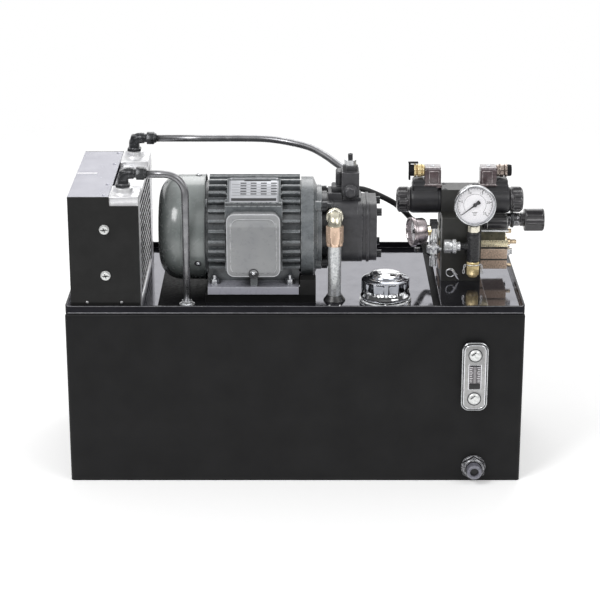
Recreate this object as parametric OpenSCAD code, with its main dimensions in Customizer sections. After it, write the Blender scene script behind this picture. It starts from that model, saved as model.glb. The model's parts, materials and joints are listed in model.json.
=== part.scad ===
// Hydraulic power unit: steel oil tank with a tray lid that carries an electric motor with a
// vane pump, an air-blast oil cooler, a filler breather and a solenoid valve station.
// Millimetres. X runs along the tank, Y from the front to the back, Z up.
// The origin is the centre of the tank's bottom face.

/* [Tank] */
// Length of the tank along X
tank_w = 752; // [740:1:800]
// Depth of the tank along Y
tank_d = 356; // [350:1:400]
// Height of the tank up to the lid
tank_h = 296; // [270:1:330]
// Sheet thickness of the tank
tank_wall = 3; // [2:0.5:5]
// Radius of the tank's outer edges
tank_edge_r = 6; // [4:1:10]
// Width of the rim that turns in under the lid
tank_rim_w = 26; // [24:1:27]

/* [Lid] */
// How far the lid stops short of the tank on each side
lid_inset = 1; // [0:0.5:3]
// Sheet thickness of the lid
lid_t = 3; // [2:0.5:5]
// Height of the lid's drip lip over the tank
lip_h = 13; // [10:1:20]
// Width of the folded platform under the valve station
platform_w = 77; // [72:1:84]
// Height of the platform over the tray floor
platform_rise = 10; // [6:1:14]
// Distance from the tank's right side to the middle of the valve station
station_from_edge = 96.5; // [92:0.5:104]
// Radius of the lid screws' shanks
lid_screw_r = 3; // [2:0.5:4]

/* [Level gauge and drain] */
// Distance from the tank's right side to the level gauge
gauge_from_edge = 81; // [70:1:100]
// Height of the level gauge's middle
level_z = 190; // [180:1:200]
// Width of the level gauge frame
level_w = 44; // [40:1:48]
// Length of the level gauge frame
level_h = 120; // [112:1:126]
// Thickness of the level gauge frame
level_t = 12; // [9:1:15]
// Distance between the level gauge bolts
level_pitch = 76; // [72:1:80]
// Distance from the tank's right side to the drain plug
drain_from_edge = 78; // [70:1:100]
// Height of the drain plug's axis
drain_z = 25; // [24:1:40]
// Radius of the drain plug's thread
drain_r = 10; // [8:0.5:12]

/* [Filler] */
// Place of the filler along X
filler_x = 149; // [146:1:156]
// Distance of the filler from the tank's front side
filler_from_front = 57; // [54:1:70]
// Radius of the breather cap
cap_r = 39.5; // [36:0.5:41]
// Height of the breather cap
cap_h = 40; // [34:1:50]
// Radius of the filler flange
filler_flange_r = 43; // [42:0.5:45]
// Radius of the strainer basket
basket_r = 24; // [18:1:27]
// Depth of the strainer basket under the lid
basket_depth = 95; // [60:1:150]

/* [Motor] */
// Height of the motor's axis over its feet
shaft_h = 90; // [90:1:100]
// Share of the free length beside the motor and pump that lies behind the fan cover
rear_share = 0.34; // [0.2:0.01:0.6]
// Distance between the foot bolts along the shaft
foot_pitch_x = 125; // [120:1:130]
// Distance between the foot bolts across the shaft
foot_pitch_y = 140; // [136:1:146]
// Distance of the motor's axis in front of the tank's middle
motor_y_off = 43; // [30:1:48]
// Outer radius over the cooling fins
fin_r = 88; // [84:1:90]
// Outer radius of the barrel between the fins
barrel_r = 78; // [74:1:80]
// Bore radius of the frame
frame_bore_r = 68; // [64:1:70]
// Number of fins round the frame
fin_count = 32; // [24:4:40]
// Thickness of a fin
fin_t = 4; // [3:0.5:6]
// Height of the black riser under the motor
riser_h = 15; // [12:1:25]
// Thickness of the motor's feet
foot_t = 13; // [10:1:16]
// Radius of the motor shaft at the front bearing
shaft_r = 17.5; // [15:0.5:18]
// Radius of the motor shaft behind the rotor
tail_r = 10; // [8:0.5:12]

/* [Terminal box] */
// Width of the terminal box lid
box_w = 88; // [80:1:92]
// Height of the terminal box lid
box_h = 107; // [96:1:110]
// Depth of the terminal box behind its lid
box_depth = 25; // [20:1:32]

/* [Pump] */
// Size of the pump body across its square
pump_size = 104; // [100:1:110]
// Radius of the pump shaft
pump_shaft_r = 9.5; // [8:0.5:10]
// Radius of the pump rotor
pump_rotor_r = 24; // [22:0.5:25]
// Number of vanes
vane_count = 11; // [9:2:13]
// Inner radius of the cam ring
cam_bore_r = 29; // [28.5:0.5:31]
// Distance that the cam ring can rise
cam_travel = 1.5; // [1:0.1:1.5]
// Height of the control tower over the pump axis
tower_h = 98; // [92:1:110]

/* [Oil lines] */
// Radius of the suction pipe
suction_r = 11; // [9:0.5:12]
// Distance of the suction port from the pump's mounting face
suction_in = 12; // [12:0.5:15]
// Radius of the steel return and drain tubes
tube_r = 6; // [5:0.5:7]
// Bend radius of the return tube
tube_bend_r = 34; // [26:1:38]
// Distance from the cooler's ports to the return tube's drop
return_reach = 100; // [92:1:104]
// Radius of the pressure hose
hose_r = 5; // [4:0.5:6]

/* [Cooler] */
// Distance from the tank's left side to the cooler
cooler_from_edge = 10; // [8:1:12]
// Thickness of the cooler's fan shroud
shroud_t = 66; // [60:1:68]
// Thickness of the cooler's core
core_t = 48; // [42:1:50]
// Depth of the cooler along Y
cooler_d = 292; // [284:1:300]
// Distance of the cooler from the tank's front side
cooler_from_front = 12; // [11:1:16]
// Height of the cooler's shroud
cooler_h = 191; // [185:1:200]
// Radius of the cooler fan
cooler_fan_r = 78; // [66:1:80]
// Number of cooler fan blades
cooler_blades = 7; // [5:1:9]

/* [Valve station] */
// Length of the valve body
valve_l = 65; // [62:1:68]
// Width of the valve body and of the plates under it
valve_w = 46; // [44:1:50]
// Height of the valve body
valve_body_h = 47; // [46:1:52]
// Radius of the solenoid coils
coil_r = 23; // [20:0.5:23.5]
// Length of a solenoid coil
coil_l = 53; // [48:1:56]
// Length of a coil nut
coil_nut_l = 22; // [18:1:25]
// Radius of the spool
spool_r = 6; // [5:0.5:7]
// Distance that the spool moves each way
spool_travel = 3; // [2:0.5:3]
// Height of the manifold
manifold_h = 35; // [32:1:40]
// Width of the manifold
manifold_w = 62; // [58:1:68]
// Height of the throttle plate
throttle_h = 34; // [30:1:38]
// Height of the relief plate
relief_h = 23; // [22:1:28]
// Radius of the relief knob
knob_r = 20; // [17:0.5:20]
// Length of the relief knob
knob_l = 34; // [28:1:38]

/* [Gauges] */
// Radius of the pressure gauge's bezel
gauge_r = 35; // [32:0.5:36]
// Depth of the pressure gauge's case
gauge_depth = 27; // [24:1:29]
// Radius of the side gauge's bezel
side_r = 25; // [22:0.5:25.5]
// Depth of the side gauge's case
side_depth = 26; // [22:1:28]
// Radius of the gauge isolator's body
isolator_r = 11; // [9:0.5:11.5]
// Radius of the isolator's hand wheel
wheel_r = 12; // [10:0.5:13]

/* [Hidden] */
$fn = 48;

// Places that follow from the sizes above
left_x = -tank_w / 2;
right_x = tank_w / 2;
front_y = -tank_d / 2;
lid_w = tank_w - 2 * lid_inset;
lid_d = tank_d - 2 * lid_inset;
floor_z = tank_h + lid_t;
platform_z = floor_z + platform_rise;
cooler_x = left_x + cooler_from_edge;
core_x = cooler_x + shroud_t;
core_end_x = core_x + core_t;
gap = 0.05;
cut = 1;
black = [0.07, 0.07, 0.08];
motor_grey = [0.36, 0.39, 0.40];
pump_grey = [0.20, 0.20, 0.21];
zinc = [0.75, 0.76, 0.78];
steel = [0.6, 0.6, 0.62];
brass = [0.78, 0.62, 0.32];
chrome = [0.86, 0.87, 0.89];

// Side gauge, turned to the left in front of the valve station
stand_w = 66;
stand_front = -45;
side_off = stand_w / 2 + 14;
side_turn = -74;
side_block_r = 6.6;
side_nut_l = 9;
side_reach = side_block_r + side_nut_l + side_depth;
side_span = side_off + side_reach * sin(-side_turn) + side_r * cos(side_turn);

// Motor and pump in one row, between the cooler and the side gauge
frame_over_front = 18.5;
frame_over_back = 11.5;
shield_t = 26;
spigot_t = 8;
adapter_t = 9;
pump_l = 58;
end_cover_l = 24;
cover_gap = 3;
cover_l = 78;
behind_l = foot_pitch_x + frame_over_back + cover_gap + cover_l;
ahead_l = frame_over_front + shield_t + spigot_t + adapter_t + pump_l + end_cover_l;
edge_x = right_x - station_from_edge;
free_l = edge_x - side_span - core_end_x - behind_l - ahead_l;
foot_bolt_x = core_end_x + rear_share * free_l + behind_l;

// Valve station at its distance from the tank's side, with its coil clear of the pump
coil_end = valve_l / 2 + coil_l + coil_nut_l;
coil_clear = 3;
station_x = max(edge_x, foot_bolt_x + ahead_l + coil_clear + coil_end);
platform_x = station_x - 3;
side_x = station_x - side_off;
side_y = stand_front + 6;

// Lid screws: head, and places along the front and back edges
lid_head_r = 5.5;
lid_head_h = 3.3;
lid_screw_edge = 13;
lid_socket = 4;
lid_screw_x = [-0.28, -0.03, 0.29, 0.45];

// Level gauge and drain plug
level_corner_r = 14;
level_rim = 5;
level_recess = 3;
level_back = 3;
level_window = [19, 42];
level_bolt_r = 6;
level_head_r = 9.5;
level_head_h = 6;
level_x = right_x - gauge_from_edge;
drain_x = right_x - drain_from_edge;
drain_hex = 36;
drain_hex_h = 10;
drain_end_r = 12;
drain_end_h = 17;
drain_socket = 8;
drain_thread_l = 12;

// Filler: the neck stands in the lid, the cap covers it
filler_y = front_y + filler_from_front;
neck_wall = 3;
neck_gap = 0.5;
neck_flange_h = 6;
neck_rise = 28;
neck_drop = 6;
cap_wall = 5;
cap_lift = neck_flange_h + 2;
cap_step = 4;
cap_step_r = cap_r - 6;
cap_disc_r = cap_r - 15;
cap_skirt_h = 5;
cap_flutes = 12;
cap_flute_r = 12;
cap_flute_depth = 3;
neck_screw_count = 6;
neck_screw_inset = 4.5;
neck_screw_r = 2.5;
neck_head_r = 3.6;
neck_head_h = 2.5;
basket_wall = 1.5;
basket_lip = 2;
neck_bore_r = basket_r + basket_lip + neck_gap;
neck_r = neck_bore_r + neck_wall;

// Motor: axis, frame ends and shields
motor_y = -motor_y_off;
foot_z = floor_z + riser_h;
axis_z = foot_z + shaft_h;
foot_w = 46;
foot_lap = 20;
foot_edge_y = foot_pitch_y / 2 + foot_lap;
frame_front = foot_bolt_x + frame_over_front;
frame_back = foot_bolt_x - foot_pitch_x - frame_over_back;
frame_mid = (frame_front + frame_back) / 2;
foot_front = frame_front - 4;
foot_back = frame_back + 1;
foot_hole_r = 5;
stud_r = 4;
stud_rise = 15;
nut_h = 6.5;
nut_af = 13;
riser_w = 40;
riser_over = 24;
cradle_h = 24;
cradle_l = 26;
cradle_w = 28;
shield_r = fin_r - 4;
spigot_r = 70.5;
nose_x = frame_front + shield_t + spigot_t;
front_bearing_r = 36;
front_bearing_w = 17;
rear_bearing_r = 26;
rear_bearing_w = 15;
rear_shield_t = 12;
core_len = 100;
air_gap = 1;
rotor_r = 41.5;
winding_l = 15;
cover_t = 2;
cover_round = 36;
fan_hub_r = 16;
fan_l = 20;
fan_tip_gap = 12;
fan_blades = 8;
box_pad_y = 75;
box_pad_margin = 3;
box_wall = 4;
box_lid_t = 5;
box_panel_t = 2;
box_corner_r = 12;
box_x = frame_mid - 0.5;
box_z = axis_z - 1.5;
gland_hole_r = 10.25;
plate_tilt = 58;
plate_dist = 84;
plate_w = 88;
plate_h = 64;

// Pump: adapter, body, cover and control tower
adapter_r = 60;
pump_x = nose_x + adapter_t;
cover_x = pump_x + pump_l;
end_recess_r = 26;
end_recess = 2;
pump_corner_r = 26;
pump_top = axis_z + pump_size / 2;
cam_r = 35;
chamber_r = cam_r + cam_travel + 3.5;
chamber_x = pump_x + 9;
cam_l = 32;
rotor_l = 30;
vane_t = 2;
vane_out = 2.5;
suction_x = pump_x + suction_in;
suction_z = axis_z + 36;
suction_boss_r = 12;
suction_boss_h = 8;
suction_y = motor_y - pump_size / 2 - suction_boss_h - suction_r - 2;
block_top = axis_z + 64;
block_w = 44;
block_in = 20;
tower_x = pump_x + 24;
tower_l = 29;
tower_w = 40;
tower_top = axis_z + tower_h;
tower_plug_r = 12.5;
tower_plug_z = axis_z + 66;
tower_hex = 22;
tower_hex_h = 9;
lock_af = 17;
lock_h = 9;
adjust_r = 4;
adjust_rise = 28;
adjust_depth = 24;
pump_bolt_at = 36;
pump_bolt_r = 4;
pump_head_r = 6.5;
pump_head_h = 8;

// Oil lines
union_h = 33;
elbow_drop = 13;
elbow_wall = 3;
pipe_wall = 2.5;
grommet_h = 10;
strainer_r = 30;
strainer_h = 85;
strainer_z = 25;
line_wall = 1;
line_rise = 31;
line_bore = 30;
line_gap = 0.25;
elbow_wall_t = 4;
elbow_neck = 19;
line_nut_x = 22;
line_nut_l = 17;
line_start = line_nut_x + line_nut_l;

// Cooler
cooler_y0 = front_y + cooler_from_front;
cooler_y1 = cooler_y0 + cooler_d;
cooler_mid_y = (cooler_y0 + cooler_y1) / 2;
cooler_top = floor_z + cooler_h;
line_z = cooler_top + line_rise;
core_top = cooler_top - 9;
cooler_mid_z = floor_z + cooler_h / 2;
cooler_plate_t = 2;
header_d = 34;
port_block_d = 68;
port_block_h = 9;
port_front_in = 27;
port_back_in = 31;
return_y = cooler_y0 + port_front_in;
drain_y = cooler_y1 - port_back_in;
port_boss_r = 16.5;
port_boss_h = 10;
port_in = 22;
port_x = core_x + port_in;
return_x = port_x + return_reach;
core_bar = 6;
fin_pitch = 12;
flat_tube_t = 3;
shroud_wall = 2;
fan_hole_gap = 4;
guard_wire_r = 1.5;
guard_rings = 5;
guard_r = cooler_fan_r + fan_hole_gap + 4;
cooler_motor_r = 32;
cooler_motor_l = 30;
cooler_hub_r = 30;
cooler_hub_l = 16;
cooler_spindle_r = 5;
plate_foot_h = 29;
plate_foot_out = 7;
plate_notch_h = 15;
plate_screw_z = [137, 59];
plate_screw_in = 8;
plate_screw_r = 4;
plate_head_r = 8;

// Valve station: stack of plates on the platform
station_y = 18;
stand_h = 110;
stand_top = platform_z + stand_h;
stand_base_t = 9;
manifold_z = platform_z + stand_base_t;
throttle_z = manifold_z + manifold_h;
relief_z = throttle_z + throttle_h;
valve_z = relief_z + relief_h;
valve_axis_z = valve_z + 24;
manifold_front = station_y - 26;
stack_left = station_x - valve_l / 2 - 2;
stack_right = station_x + valve_l / 2 + 49;
valve_x0 = station_x - valve_l / 2;
valve_x1 = station_x + valve_l / 2;
neck_l = 29;
relief_neck_r = 11;
relief_lock_af = 27;
knob_x = stack_right + neck_l;
knob_z = relief_z + relief_h / 2;
port_r = 7.45;
port_l = 14;
port_gap = 40;
pin_r = 3.4;
rod_r = 2.5;
coil_bore_r = 3.5;
land_l = 9;
plug_size = 28;
plug_h = 37;
plug_shift = 12;
gland_r = 9;
gland_l = 18;
coil_mid = valve_l / 2 + coil_l / 2;
plug_z = valve_axis_z + coil_r;
gland_z = plug_z + 28;

// Gauges, isolator and side fittings
isolator_x = station_x + 18.5;
isolator_y = stand_front - 17;
isolator_z = platform_z + 40;
isolator_h = 52;
isolator_nut_h = 27;
stem_af = 17;
stem_h = 10;
stem_r = 6;
gauge_z = isolator_z + isolator_h + stem_h + 3 + gauge_r;
bezel_t = 8;
bezel_rim = 3;
dial_depth = 10;
dial_gap = 4;
needle_t = 1;
spindle_r = 1.2;
rest_angle = 218;
wheel_z = isolator_z + 26;
wheel_x0 = isolator_x - 49;
wheel_l = 27;
wheel_pin_r = 3;
side_rise = 88;
side_z = platform_z + side_rise;
side_block_h = 35;
tee_z = platform_z + 54;

// Cylinders along each axis, and hexagons by their width across flats
module rod_x(x0, x1, r) {
    translate([x0, 0, 0]) rotate([0, 90, 0]) cylinder(h = x1 - x0, r = r);
}
module rod_y(y0, y1, r) {
    translate([0, y1, 0]) rotate([90, 0, 0]) cylinder(h = y1 - y0, r = r);
}
module rod_z(z0, z1, r) {
    translate([0, 0, z0]) cylinder(h = z1 - z0, r = r);
}
module hex_z(z0, z1, af) {
    translate([0, 0, z0]) cylinder(h = z1 - z0, r = af / 2 / cos(30), $fn = 6);
}
module hex_x(x0, x1, af) {
    translate([x0, 0, 0]) rotate([0, 90, 0]) cylinder(h = x1 - x0, r = af / 2 / cos(30), $fn = 6);
}
module hex_y(y0, y1, af) {
    translate([0, y1, 0]) rotate([90, 0, 0]) cylinder(h = y1 - y0, r = af / 2 / cos(30), $fn = 6);
}

// Box between two corners
module span(a, b) {
    translate(a) cube(b - a);
}

// Plate with round corners, centred on the axis, from z = 0 up
module round_plate(w, d, h, r) {
    translate([-w / 2, -d / 2 + r, 0]) cube([w, d - 2 * r, h]);
    translate([-w / 2 + r, -d / 2, 0]) cube([w - 2 * r, d, h]);
    for (sx = [-1, 1], sy = [-1, 1])
        translate([sx * (w / 2 - r), sy * (d / 2 - r), 0]) cylinder(h = h, r = r);
}

// Box with round upright and top edges
module round_box(w, d, h, r) {
    round_plate(w, d, h - r, r);
    translate([-w / 2 + r, -d / 2 + r, h - r - cut]) cube([w - 2 * r, d - 2 * r, r + cut]);
    for (sy = [-1, 1]) translate([0, sy * (d / 2 - r), h - r]) rod_x(-w / 2 + r, w / 2 - r, r);
    for (sx = [-1, 1]) translate([sx * (w / 2 - r), 0, h - r]) rod_y(-d / 2 + r, d / 2 - r, r);
    for (sx = [-1, 1], sy = [-1, 1])
        translate([sx * (w / 2 - r), sy * (d / 2 - r), h - r]) sphere(r = r);
}

// Round tube swept along a smooth curve through the points
function curve_at(p, i, t) =
    let (n = len(p) - 1, a = p[max(i - 1, 0)], b = p[i], c = p[min(i + 1, n)], d = p[min(i + 2, n)])
    0.5 * (2 * b + (c - a) * t + (2 * a - 5 * b + 4 * c - d) * t * t
        + (3 * b - a - 3 * c + d) * t * t * t);
function curve(p, steps) = concat(
    [for (i = [0 : len(p) - 2], k = [0 : steps - 1]) curve_at(p, i, k / steps)], [p[len(p) - 1]]);
function unit(v) = v / norm(v);
function tangent(q, i) = unit(q[min(i + 1, len(q) - 1)] - q[max(i - 1, 0)]);
module swept_tube(points, r, steps = 4, sides = 12, up = [0, 0, 1]) {
    q = curve(points, steps);
    n = len(q);
    rings = [for (i = [0 : n - 1])
        let (t = tangent(q, i), u = unit(cross(t, up)), v = cross(u, t))
        for (k = [0 : sides - 1])
            q[i] + r * (cos(360 * k / sides) * u + sin(360 * k / sides) * v)];
    walls = [for (i = [0 : n - 2], k = [0 : sides - 1])
        let (a = i * sides + k, b = i * sides + (k + 1) % sides)
        [a, b, b + sides, a + sides]];
    first = [for (k = [sides - 1 : -1 : 0]) k];
    last = [for (k = [0 : sides - 1]) (n - 1) * sides + k];
    polyhedron(points = rings, faces = concat(walls, [first], [last]), convexity = 6);
}

// Pieces on the motor's axis
module on_axis() {
    translate([0, motor_y, axis_z]) children();
}

// ---- tank ----
module lid_screw_places() {
    for (f = lid_screw_x, s = [-1, 1])
        translate([f * tank_w, s * (lid_d / 2 - lid_screw_edge), 0]) children();
}
module level_bolt_places() {
    for (s = [-1, 1]) translate([level_x, front_y, level_z + s * level_pitch / 2]) children();
}

// Welded tank, open under the lid, with a rim that turns in
module tank_body() color(black) difference() {
    round_box(tank_w, tank_d, tank_h, tank_edge_r);
    span([left_x + tank_wall, front_y + tank_wall, tank_wall],
        [right_x - tank_wall, -front_y - tank_wall, tank_h - tank_wall]);
    span([left_x + tank_rim_w, front_y + tank_rim_w, tank_h / 2],
        [right_x - tank_rim_w, -front_y - tank_rim_w, tank_h + cut]);
    lid_screw_places() rod_z(tank_h - 2 * tank_wall, tank_h + cut, lid_screw_r);
    level_bolt_places() rod_y(-cut, tank_wall + cut, level_bolt_r);
    translate([drain_x, front_y, drain_z]) rod_y(-cut, tank_wall + cut, drain_r);
}

// Pressed lid: tray floor, drip lip and raised platform
module lid_tray() color(black) difference() {
    union() {
        translate([0, 0, tank_h]) difference() {
            round_plate(lid_w, lid_d, lip_h, tank_edge_r);
            translate([0, 0, lid_t])
                round_plate(lid_w - 2 * lid_t, lid_d - 2 * lid_t, lip_h, tank_edge_r - lid_t);
        }
        span([platform_x - platform_w / 2, -lid_d / 2 + cut, floor_z - cut],
            [platform_x + platform_w / 2, lid_d / 2 - cut, platform_z]);
    }
    span([platform_x - platform_w / 2 + lid_t, -lid_d / 2 + tank_rim_w, tank_h - cut],
        [platform_x + platform_w / 2 - lid_t, lid_d / 2 - tank_rim_w, platform_z - lid_t]);
    translate([filler_x, filler_y, 0]) rod_z(tank_h - cut, floor_z + cut, neck_r + gap);
    translate([suction_x, suction_y, 0]) rod_z(tank_h - cut, floor_z + cut, suction_r + 3);
    translate([return_x, return_y, 0]) rod_z(tank_h - cut, floor_z + cut, tube_r + 2);
    lid_screw_places() rod_z(tank_h - cut, platform_z + cut, lid_screw_r);
    neck_screw_places() rod_z(tank_h - cut, floor_z + cut, neck_screw_r);
}

// Screws of the lid and of the filler flange
module lid_screws() color(steel) {
    lid_screw_places() difference() {
        union() {
            rod_z(tank_h - 4 * tank_wall, floor_z, lid_screw_r);
            rod_z(floor_z, floor_z + lid_head_h, lid_head_r);
        }
        hex_z(floor_z + lid_head_h / 2, floor_z + lid_head_h + cut, lid_socket);
    }
    neck_screw_places() {
        rod_z(tank_h, floor_z + neck_flange_h, neck_screw_r);
        rod_z(floor_z + neck_flange_h, floor_z + neck_flange_h + neck_head_h - 0.7, neck_head_r);
    }
}

// Raised frame of the level gauge, with a recess, a window and two bolt holes
module level_gauge_frame() color(chrome)
    translate([level_x, front_y, level_z]) difference() {
        rotate([90, 0, 0]) round_plate(level_w, level_h, level_t, level_corner_r);
        translate([0, -level_t + level_recess, 0]) rotate([90, 0, 0])
            round_plate(level_w - 2 * level_rim, level_h - 2 * level_rim, level_t,
                level_corner_r - level_rim);
        span([-level_window[0] / 2, -level_t - cut, -level_window[1] / 2],
            [level_window[0] / 2, -level_back, level_window[1] / 2]);
        for (s = [-1, 1])
            translate([0, 0, s * level_pitch / 2]) rod_y(-level_t - cut, cut, level_bolt_r);
    }

// Hollow bolts that hold the level gauge
module level_gauge_bolts() color(chrome) level_bolt_places() difference() {
    union() {
        rod_y(-level_t + level_recess, tank_wall + 12, level_bolt_r);
        rod_y(-level_t + level_recess - level_head_h, -level_t + level_recess, level_head_r);
    }
    rod_y(0, tank_wall + 13, level_bolt_r / 2);
    translate([0, -level_t + level_recess - level_head_h, 0])
        span([-level_head_r, -cut, -cut], [level_head_r, 1.5, cut]);
}

// Hexagon plug with a round end and a key socket
module drain_plug() color(black) translate([drain_x, front_y, drain_z]) difference() {
    union() {
        hex_y(-drain_hex_h, 0, drain_hex);
        rod_y(-drain_hex_h - drain_end_h, -drain_hex_h, drain_end_r);
        rod_y(0, tank_wall + drain_thread_l, drain_r);
    }
    hex_y(-drain_hex_h - drain_end_h - cut, -drain_end_h, drain_socket);
}

// ---- filler ----
module neck_screw_places() {
    for (i = [0 : neck_screw_count - 1])
        translate([filler_x, filler_y, 0]) rotate([0, 0, 360 * (i + 0.5) / neck_screw_count])
            translate([filler_flange_r - neck_screw_inset, 0, 0]) children();
}

// Flange and neck that carry the breather cap and the strainer basket
module filler_neck() color(chrome) difference() {
    translate([filler_x, filler_y, 0]) difference() {
        union() {
            rod_z(floor_z, floor_z + neck_flange_h - 2, filler_flange_r);
            translate([0, 0, floor_z + neck_flange_h - 2])
                cylinder(h = 2, r1 = filler_flange_r, r2 = filler_flange_r - 1.5);
            rod_z(tank_h - neck_drop, floor_z + neck_rise, neck_r);
        }
        rod_z(floor_z, floor_z + neck_rise + cut, neck_bore_r);
        rod_z(tank_h - neck_drop - cut, floor_z + cut, basket_r + gap);
    }
    neck_screw_places() rod_z(floor_z - cut, floor_z + neck_flange_h + cut, neck_screw_r);
}

// Basket under the filler and the suction strainer at the bottom of the tank
module tank_strainers() color(steel) {
    translate([filler_x, filler_y, 0]) difference() {
        union() {
            rod_z(tank_h - basket_depth, floor_z + 2, basket_r);
            rod_z(floor_z, floor_z + 2, basket_r + basket_lip);
        }
        rod_z(tank_h - basket_depth + basket_wall, floor_z + 3, basket_r - basket_wall);
    }
    translate([suction_x, suction_y, 0]) difference() {
        rod_z(strainer_z, strainer_z + strainer_h, strainer_r);
        rod_z(strainer_z + basket_wall, strainer_z + strainer_h - 2, strainer_r - basket_wall);
        rod_z(strainer_z + strainer_h / 2, strainer_z + strainer_h + cut, suction_r);
    }
}

// Fluted breather cap with a stepped top
module filler_cap() color(chrome) translate([filler_x, filler_y, floor_z + cap_lift]) difference() {
    union() {
        rod_z(0, cap_h - 2 * cap_step, cap_r);
        rod_z(0, cap_skirt_h - 2, cap_r + 2);
        translate([0, 0, cap_skirt_h - 2]) cylinder(h = 2, r1 = cap_r + 2, r2 = cap_r);
        translate([0, 0, cap_h - 2 * cap_step]) cylinder(h = cap_step, r1 = cap_r, r2 = cap_step_r);
        rod_z(cap_h - cap_step, cap_h - cap_step + 1.5, cap_disc_r + 4);
        rod_z(cap_h - cap_step, cap_h, cap_disc_r);
    }
    rod_z(-cut, cap_h - 2 * cap_step - 3, cap_r - cap_wall);
    for (i = [0 : cap_flutes - 1]) rotate([0, 0, 360 * i / cap_flutes])
        translate([cap_r + cap_flute_r - cap_flute_depth, 0, cap_skirt_h + 2])
            rod_z(0, cap_h, cap_flute_r);
}

// ---- motor ----
module foot_places() {
    for (x = [foot_bolt_x - foot_pitch_x, foot_bolt_x], s = [-1, 1])
        translate([x, motor_y + s * foot_pitch_y / 2, 0]) children();
}

// Two bars under the feet, with a cradle block at the pump end of each
module motor_riser() color(black) difference() {
    for (s = [-1, 1]) translate([0, motor_y + s * (foot_edge_y - riser_w / 2 - 2), floor_z]) {
        span([foot_back - 4, -riser_w / 2, 0], [foot_front + riser_over + 4, riser_w / 2, riser_h]);
        translate([foot_front + 2, s > 0 ? riser_w / 2 - cradle_w : -riser_w / 2, 0])
            cube([cradle_l, cradle_w, riser_h + cradle_h]);
    }
    foot_places() rod_z(floor_z - cut, foot_z + cut, stud_r);
}

// Finned frame with feet, a pad for the terminal box and a pad for the rating plate
module motor_frame() color(motor_grey) difference() {
    on_axis() {
        rod_x(frame_back, frame_front, barrel_r);
        for (i = [0 : fin_count - 1])
            if (abs(360 * i / fin_count - 180) > 48) rotate([360 * i / fin_count, 0, 0])
                span([frame_back + 2.5, -fin_t / 2, barrel_r - 3], [frame_front - 2, fin_t / 2, fin_r]);
        for (s = [-1, 1]) mirror([0, s > 0 ? 1 : 0, 0]) {
            span([foot_back, -foot_edge_y, -shaft_h],
                [foot_front, -foot_edge_y + foot_w, -shaft_h + foot_t]);
            foot_leg(foot_back, foot_front, -foot_edge_y + 31);
            foot_leg(box_x - 5.5, box_x + 5.5, -foot_edge_y + 4);
        }
        span([box_x - box_w / 2 - box_pad_margin, -box_pad_y, -box_h / 2],
            [box_x + box_w / 2 + box_pad_margin, -barrel_r / 2, box_h / 2 + 10]);
        rotate([-plate_tilt, 0, 0])
            span([box_x - plate_w / 2, -plate_dist, -plate_h / 2],
                [box_x + plate_w / 2, -barrel_r + 8, plate_h / 2]);
    }
    on_axis() {
        rod_x(frame_back - cut, frame_front + cut, frame_bore_r);
        span([box_x - box_w / 2 - box_pad_margin, -fin_r - cut, -box_h / 2 - 2],
            [box_x + box_w / 2 + box_pad_margin, -box_pad_y, box_h / 2 + 2]);
        rotate([-plate_tilt, 0, 0])
            span([box_x - plate_w / 2 - 2, -fin_r - 4, -plate_h / 2 - 1],
                [box_x + plate_w / 2 + 2, -plate_dist, plate_h / 2 + 1]);
    }
    foot_places() rod_z(foot_z - cut, foot_z + foot_t + cut, foot_hole_r);
}

// Leg that rises from a foot to the barrel
module foot_leg(x0, x1, outer_y)
    translate([x0, 0, 0]) rotate([90, 0, 90]) linear_extrude(x1 - x0)
        polygon([[outer_y, -shaft_h + foot_t - cut], [-foot_edge_y + foot_w, -shaft_h + foot_t - cut],
            [-40, -62], [-58, -48], [outer_y + 1, -60]]);

// End shield at the pump end, with its bearing seat and four lugs
module motor_front_shield() color(motor_grey) on_axis() difference() {
    union() {
        rod_x(frame_front, frame_front + shield_t - 6, shield_r);
        translate([frame_front + shield_t - 6, 0, 0]) rotate([0, 90, 0])
            cylinder(h = 6, r1 = shield_r, r2 = spigot_r);
        rod_x(frame_front + shield_t - cut, nose_x, spigot_r);
        for (a = [45 : 90 : 315]) rotate([a, 0, 0])
            translate([0, 0, spigot_r - 2]) rod_x(frame_front + shield_t - 8, nose_x - cut, 10);
    }
    rod_x(frame_front - cut, nose_x + cut, shaft_r + 2);
    rod_x(frame_front + 6, frame_front + 6 + front_bearing_w, front_bearing_r);
    rod_x(frame_front - cut, frame_front + 6 + cut, frame_bore_r - 8);
}

// End shield behind the rotor, with its bearing seat and four lugs that carry the fan cover
module motor_rear_shield() color(motor_grey) on_axis() difference() {
    union() {
        rod_x(frame_back - rear_shield_t, frame_back, barrel_r);
        rod_x(frame_back - rear_bearing_w - 3, frame_back, rear_bearing_r + 6);
        for (a = [45 : 90 : 315]) rotate([a, 0, 0])
            translate([0, 0, fin_r - cover_t - 9]) rod_x(frame_back - rear_shield_t, frame_back, 9);
    }
    rod_x(frame_back - rear_bearing_w, frame_back + cut, rear_bearing_r);
    rod_x(frame_back - rear_bearing_w - 4, frame_back, tail_r + 2);
}

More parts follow.
